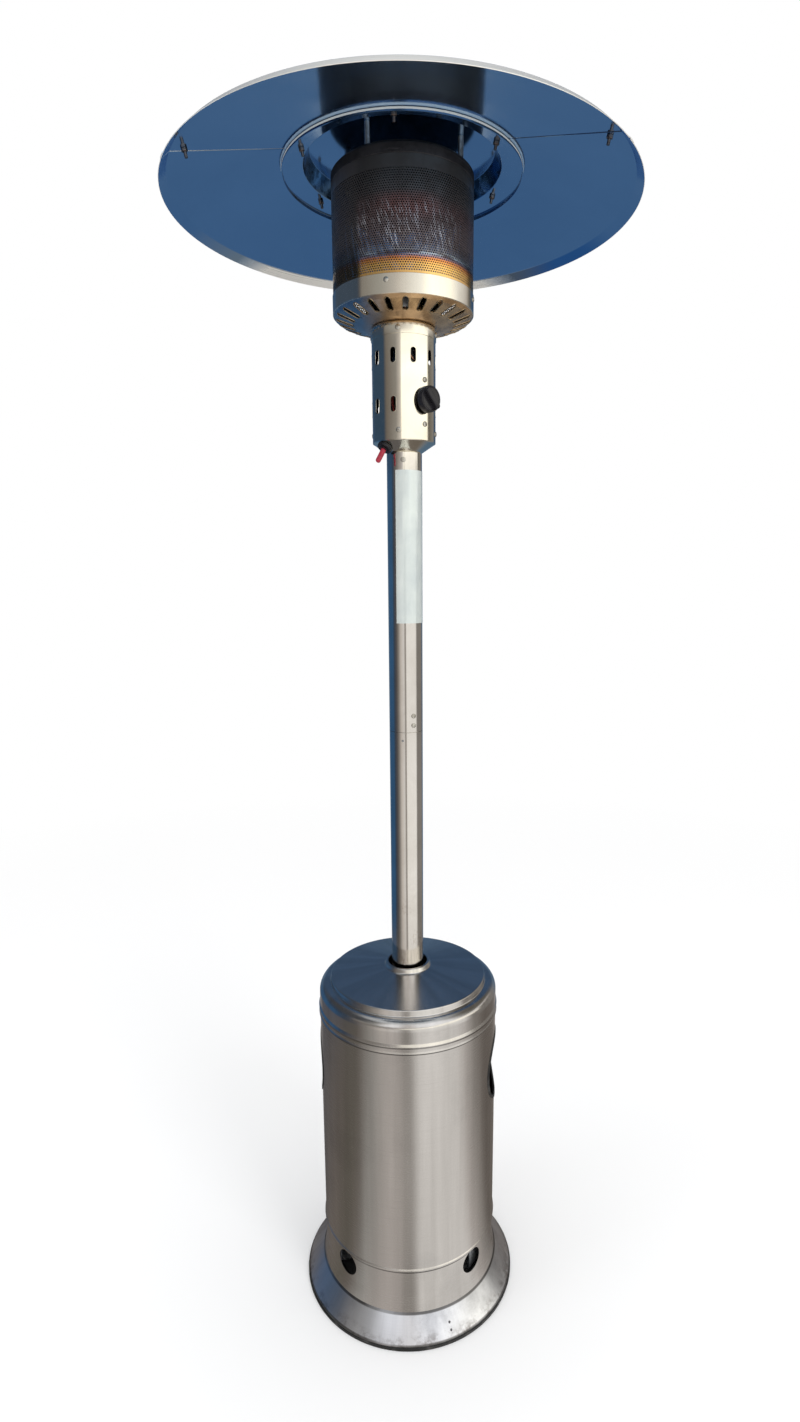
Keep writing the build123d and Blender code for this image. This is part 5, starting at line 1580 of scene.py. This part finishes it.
knob_seat, knob_turned = 62.5, 132
knob_frame = radial_frame(knob_azimuth, knob_seat, knob_height)
knob_outline = [
    (0, 5), (13, 5), (13, 0), (21.8, 0), (22.4, 0.5), (22.5, 1.4), (21.8, 10.9), (21.4, 12.0), (20.7, 12.5),
    (19.4, 12.5), (18.7, 12.1), (18.2, 11.5), (0, 11.0),
]
knob_body = turned("knob_body", knob_outline, 96, knob_frame.translation, outward(knob_azimuth))
grip_frame = knob_frame @ Matrix.Rotation(radians(knob_turned), 4, "Z") @ Matrix.Translation((0, 0, 6))
grip = prism("grip", slot_outline(40.6, 10), 13.4, grip_frame, bevel=1.8)
stands_for(join("knob", [knob_body, grip]), "control_knob", finish=knob_plastic)

# The igniter stands square to the cup's cone
igniter_azimuth, igniter_radius = 222, 45
cone_rise = 16.8
igniter_lean = Vector((cup_neck - cup_radius, cone_rise)).normalized()
igniter_axis = outward(igniter_azimuth) * igniter_lean.y + up * igniter_lean.x
cone_share = (igniter_radius - cup_neck) / (cup_radius - cup_neck)
cone_height = cup_neck_height + cone_share * cone_rise
igniter_seat = point_at(igniter_azimuth, igniter_radius, cone_height) + igniter_axis * 0.5
nut_outline = [
    (7.98, 0), (12.8, 0), (13.5, 0.7), (13.5, 5.6), (13.0, 6.5), (12.0, 7.0), (8.6, 7.0), (7.98, 6.6),
    (7.98, 0),
]
collar = turned("igniter_collar", nut_outline, 96, igniter_seat, igniter_axis)
side_axis = igniter_axis.orthogonal().normalized()
flutes, flute_depth = 24, 0.022
for vertex in collar.data.vertices:
    arm = vertex.co / mm - igniter_seat
    along = arm.dot(igniter_axis)
    flat = arm - igniter_axis * along
    if flat.length > 12.7 and 0.4 < along < 6.0:
        angle = atan2(flat.dot(igniter_axis.cross(side_axis)), flat.dot(side_axis))
        share = 1 - flute_depth * (0.5 + 0.5 * cos(flutes * angle))
        vertex.co = (igniter_seat + igniter_axis * along + flat * share) * mm
tidy_mesh(collar.data, 50)
stands_for(collar, "igniter_nut", finish=knob_plastic)

button_outline = [
    (0, -15), (4.7, -15), (4.7, 30.5), (4.55, 32.6), (4.0, 34.0), (3.2, 34.7), (2.2, 35.0), (0, 35.0),
]
button = turned("button", button_outline, 48, igniter_seat, igniter_axis)
stands_for(button, "igniter_button", finish=button_plastic)

# The camera of the photograph, for an image of 800 x 1422

camera_back, camera_height = 1520.36, 1496.86
pitch, roll, yaw = 0.1908, -0.0067, 0.0147
focal_pixels, centre_x, centre_y = 787.22, 417.75, 732.54
image_width, image_height = 800, 1422
forward = Vector((0, cos(pitch), -sin(pitch)))
level = Vector((1, 0, 0))
above = Vector((0, sin(pitch), cos(pitch)))
rolled = level * cos(roll) + above * sin(roll)
camera_up = above * cos(roll) - level * sin(roll)
camera_forward = forward * cos(yaw) + rolled * sin(yaw)
camera_right = rolled * cos(yaw) - forward * sin(yaw)
sensor = 36
camera_data = bpy.data.cameras.new("camera")
camera_data.sensor_width = sensor
camera_data.lens = focal_pixels / image_height * sensor
camera_data.shift_x = (image_width / 2 - centre_x) / image_height
camera_data.shift_y = (centre_y - image_height / 2) / image_height
camera_data.clip_start = 0.01
camera = bpy.data.objects.new("camera", camera_data)
pose = Matrix((camera_right, camera_up, -camera_forward)).transposed().to_4x4()
pose.translation = Vector((0, -camera_back, camera_height)) * mm
camera.matrix_world = pose
scene.collection.objects.link(camera)
scene.camera = camera

# Floor, studio and lamps

# Tones that metal reflects
blue = (0.036, 0.105, 0.225)
deep_blue = (0.030, 0.060, 0.108)
navy = (0.045, 0.065, 0.10)
haze = (0.094, 0.162, 0.255)
dusk = (0.10, 0.095, 0.10)
umber = (0.16, 0.14, 0.125)
brown = (0.25, 0.235, 0.22)
sand = (0.52, 0.485, 0.465)
pale_sand = (0.66, 0.62, 0.585)
seam_shade = (0.34, 0.32, 0.30)
bright = (0.98, 0.97, 0.95)
glare = (1.5, 1.46, 1.32)
stone = (0.36, 0.355, 0.34)
shade = (0.13, 0.12, 0.10)
slate = (0.04, 0.082, 0.16)
charcoal = (0.055, 0.06, 0.07)
pearl = (0.80, 0.785, 0.77)
snow = (1.15, 1.17, 1.22)

# Each list goes round the heater: 0.5 is the front. Far and near are of the floor.
far_tones = [
    (0.00, haze), (0.09, haze), (0.12, blue), (0.235, blue), (0.27, navy), (0.32, dusk), (0.36, brown),
    (0.41, pale_sand), (0.47, pearl), (0.487, seam_shade), (0.503, seam_shade), (0.515, bright),
    (0.70, bright), (0.725, brown), (0.86, brown), (0.91, haze),
]
near_tones = [
    (0.00, pale_sand), (0.06, sand), (0.12, dusk), (0.25, umber), (0.31, shade), (0.338, umber),
    (0.375, stone), (0.43, sand), (0.474, sand), (0.484, seam_shade), (0.512, seam_shade),
    (0.524, pearl), (0.66, pearl), (0.70, sand), (0.735, seam_shade), (0.78, umber), (0.88, umber),
    (0.94, sand), (1.00, pale_sand),
]
middle_tones = [
    (0.00, slate), (0.09, slate), (0.12, deep_blue), (0.285, deep_blue), (0.30, dusk), (0.32, umber),
    (0.42, brown), (0.455, sand), (0.468, pale_sand), (0.475, glare), (0.755, glare), (0.775, shade),
    (0.86, brown), (0.91, slate),
]
band_tones = [
    (0.00, slate), (0.09, slate), (0.12, navy), (0.285, navy), (0.297, dusk), (0.308, brown),
    (0.40, stone), (0.48, sand), (0.58, bright), (0.62, glare), (0.70, glare), (0.76, bright),
    (0.84, sand), (0.87, shade), (0.91, slate),
]
upper_tones = [
    (0.00, slate), (0.08, slate), (0.13, charcoal), (0.32, charcoal), (0.38, stone), (0.42, snow),
    (0.47, snow), (0.49, pale_sand), (0.51, pale_sand), (0.53, snow), (0.66, snow), (0.72, stone),
    (0.78, shade), (0.88, shade), (0.92, slate), (1.00, slate),
]
zenith = (0.66, 0.70, 0.74)


def studio_floor():
    """A large pale floor. What metal reflects of it has the tones of the studio."""
    reach = 30000
    corners = [(-reach, -reach, 0), (reach, -reach, 0), (reach, reach, 0), (-reach, reach, 0)]
    floor = new_piece("floor", corners, [(0, 1, 2, 3)])
    finish = Finish("pale_floor")
    colour = finish.mix(finish.noise(0.8, detail=3), (0.97, 0.97, 0.97), (0.95, 0.95, 0.955))
    material = finish.done(colour, 0.9)
    share = finish.round_share(finish.x, finish.y)
    away = finish.node("ShaderNodeVectorMath", [(0, finish.place)], operation="LENGTH").outputs["Value"]
    near, far = finish.ramp(share, near_tones), finish.ramp(share, far_tones)
    tones = finish.mix(finish.between(away, 1.2, 1.9), near, far)
    path = finish.node("ShaderNodeLightPath").outputs
    fade = finish.between(away, 1.6, 4.0) * path["Is Camera Ray"]
    white = finish.node("ShaderNodeEmission", [("Color", (1.0, 1.0, 1.0))]).outputs[0]
    panels = finish.node("ShaderNodeEmission", [("Color", tones)]).outputs[0]
    links = [(0, fade), (1, finish.surface.outputs[0]), (2, white)]
    faded = finish.node("ShaderNodeMixShader", links).outputs[0]
    links = [(0, path["Is Glossy Ray"]), (1, faded), (2, panels)]
    either = finish.node("ShaderNodeMixShader", links).outputs[0]
    feed(finish.tree, finish.tree.nodes["Material Output"].inputs["Surface"], either)
    wear_finish(floor, material)
    floor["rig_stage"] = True


def studio_world():
    """Pale all round for the camera; soft panels, sky and wall tones for what metal reflects."""
    world = bpy.data.worlds.new("studio")
    world.use_nodes = True
    scene.world = world
    studio = Shading(world.node_tree)
    way = studio.node("ShaderNodeTexCoord").outputs["Generated"]
    x, y, rise = parts_of(studio.tree, way)
    share = studio.round_share(x, y)
    tones = studio.ramp(share, far_tones)
    for low, high, stops in (
        (0.10, 0.16, middle_tones),
        (0.27, 0.30, band_tones),
        (0.40, 0.50, upper_tones),
    ):
        tones = studio.mix(studio.between(rise, low, high), tones, studio.ramp(share, stops))
    tones = studio.mix(studio.between(rise, 0.84, 0.93), tones, zenith)
    path = studio.node("ShaderNodeLightPath").outputs
    shown = studio.mix(path["Is Glossy Ray"], (0.98, 0.98, 0.98), tones)
    pale = arithmetic(studio.tree, "MAXIMUM", path["Is Camera Ray"], path["Is Transmission Ray"])
    shown = studio.mix(pale, shown, (1.0, 1.0, 1.0))
    background = studio.tree.nodes["Background"]
    feed(studio.tree, background.inputs["Color"], shown)
    background.inputs["Strength"].default_value = 1.0


def soft_lamp(name, place, target, width, height, power, tint=(1, 1, 1)):
    """A large soft lamp, in metres, that shines at a target."""
    data = bpy.data.lights.new(name, "AREA")
    data.shape = "RECTANGLE"
    data.size, data.size_y = width, height
    data.energy = power
    data.color = tint
    lamp = bpy.data.objects.new(name, data)
    aim = (Vector(target) - Vector(place)).to_track_quat("-Z", "Y")
    lamp.matrix_world = Matrix.Translation(place) @ aim.to_matrix().to_4x4()
    lamp.visible_glossy = False
    scene.collection.objects.link(lamp)


studio_floor()
studio_world()
soft_lamp("key", (2.6, -3.4, 3.2), (0, 0, 1.1), 1.6, 2.6, 60)
soft_lamp("fill", (-3.4, -1.5, 2.6), (0, 0, 1.0), 1.6, 2.4, 20, (0.92, 0.96, 1.0))
scene.view_settings.view_transform = "Standard"

low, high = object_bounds()
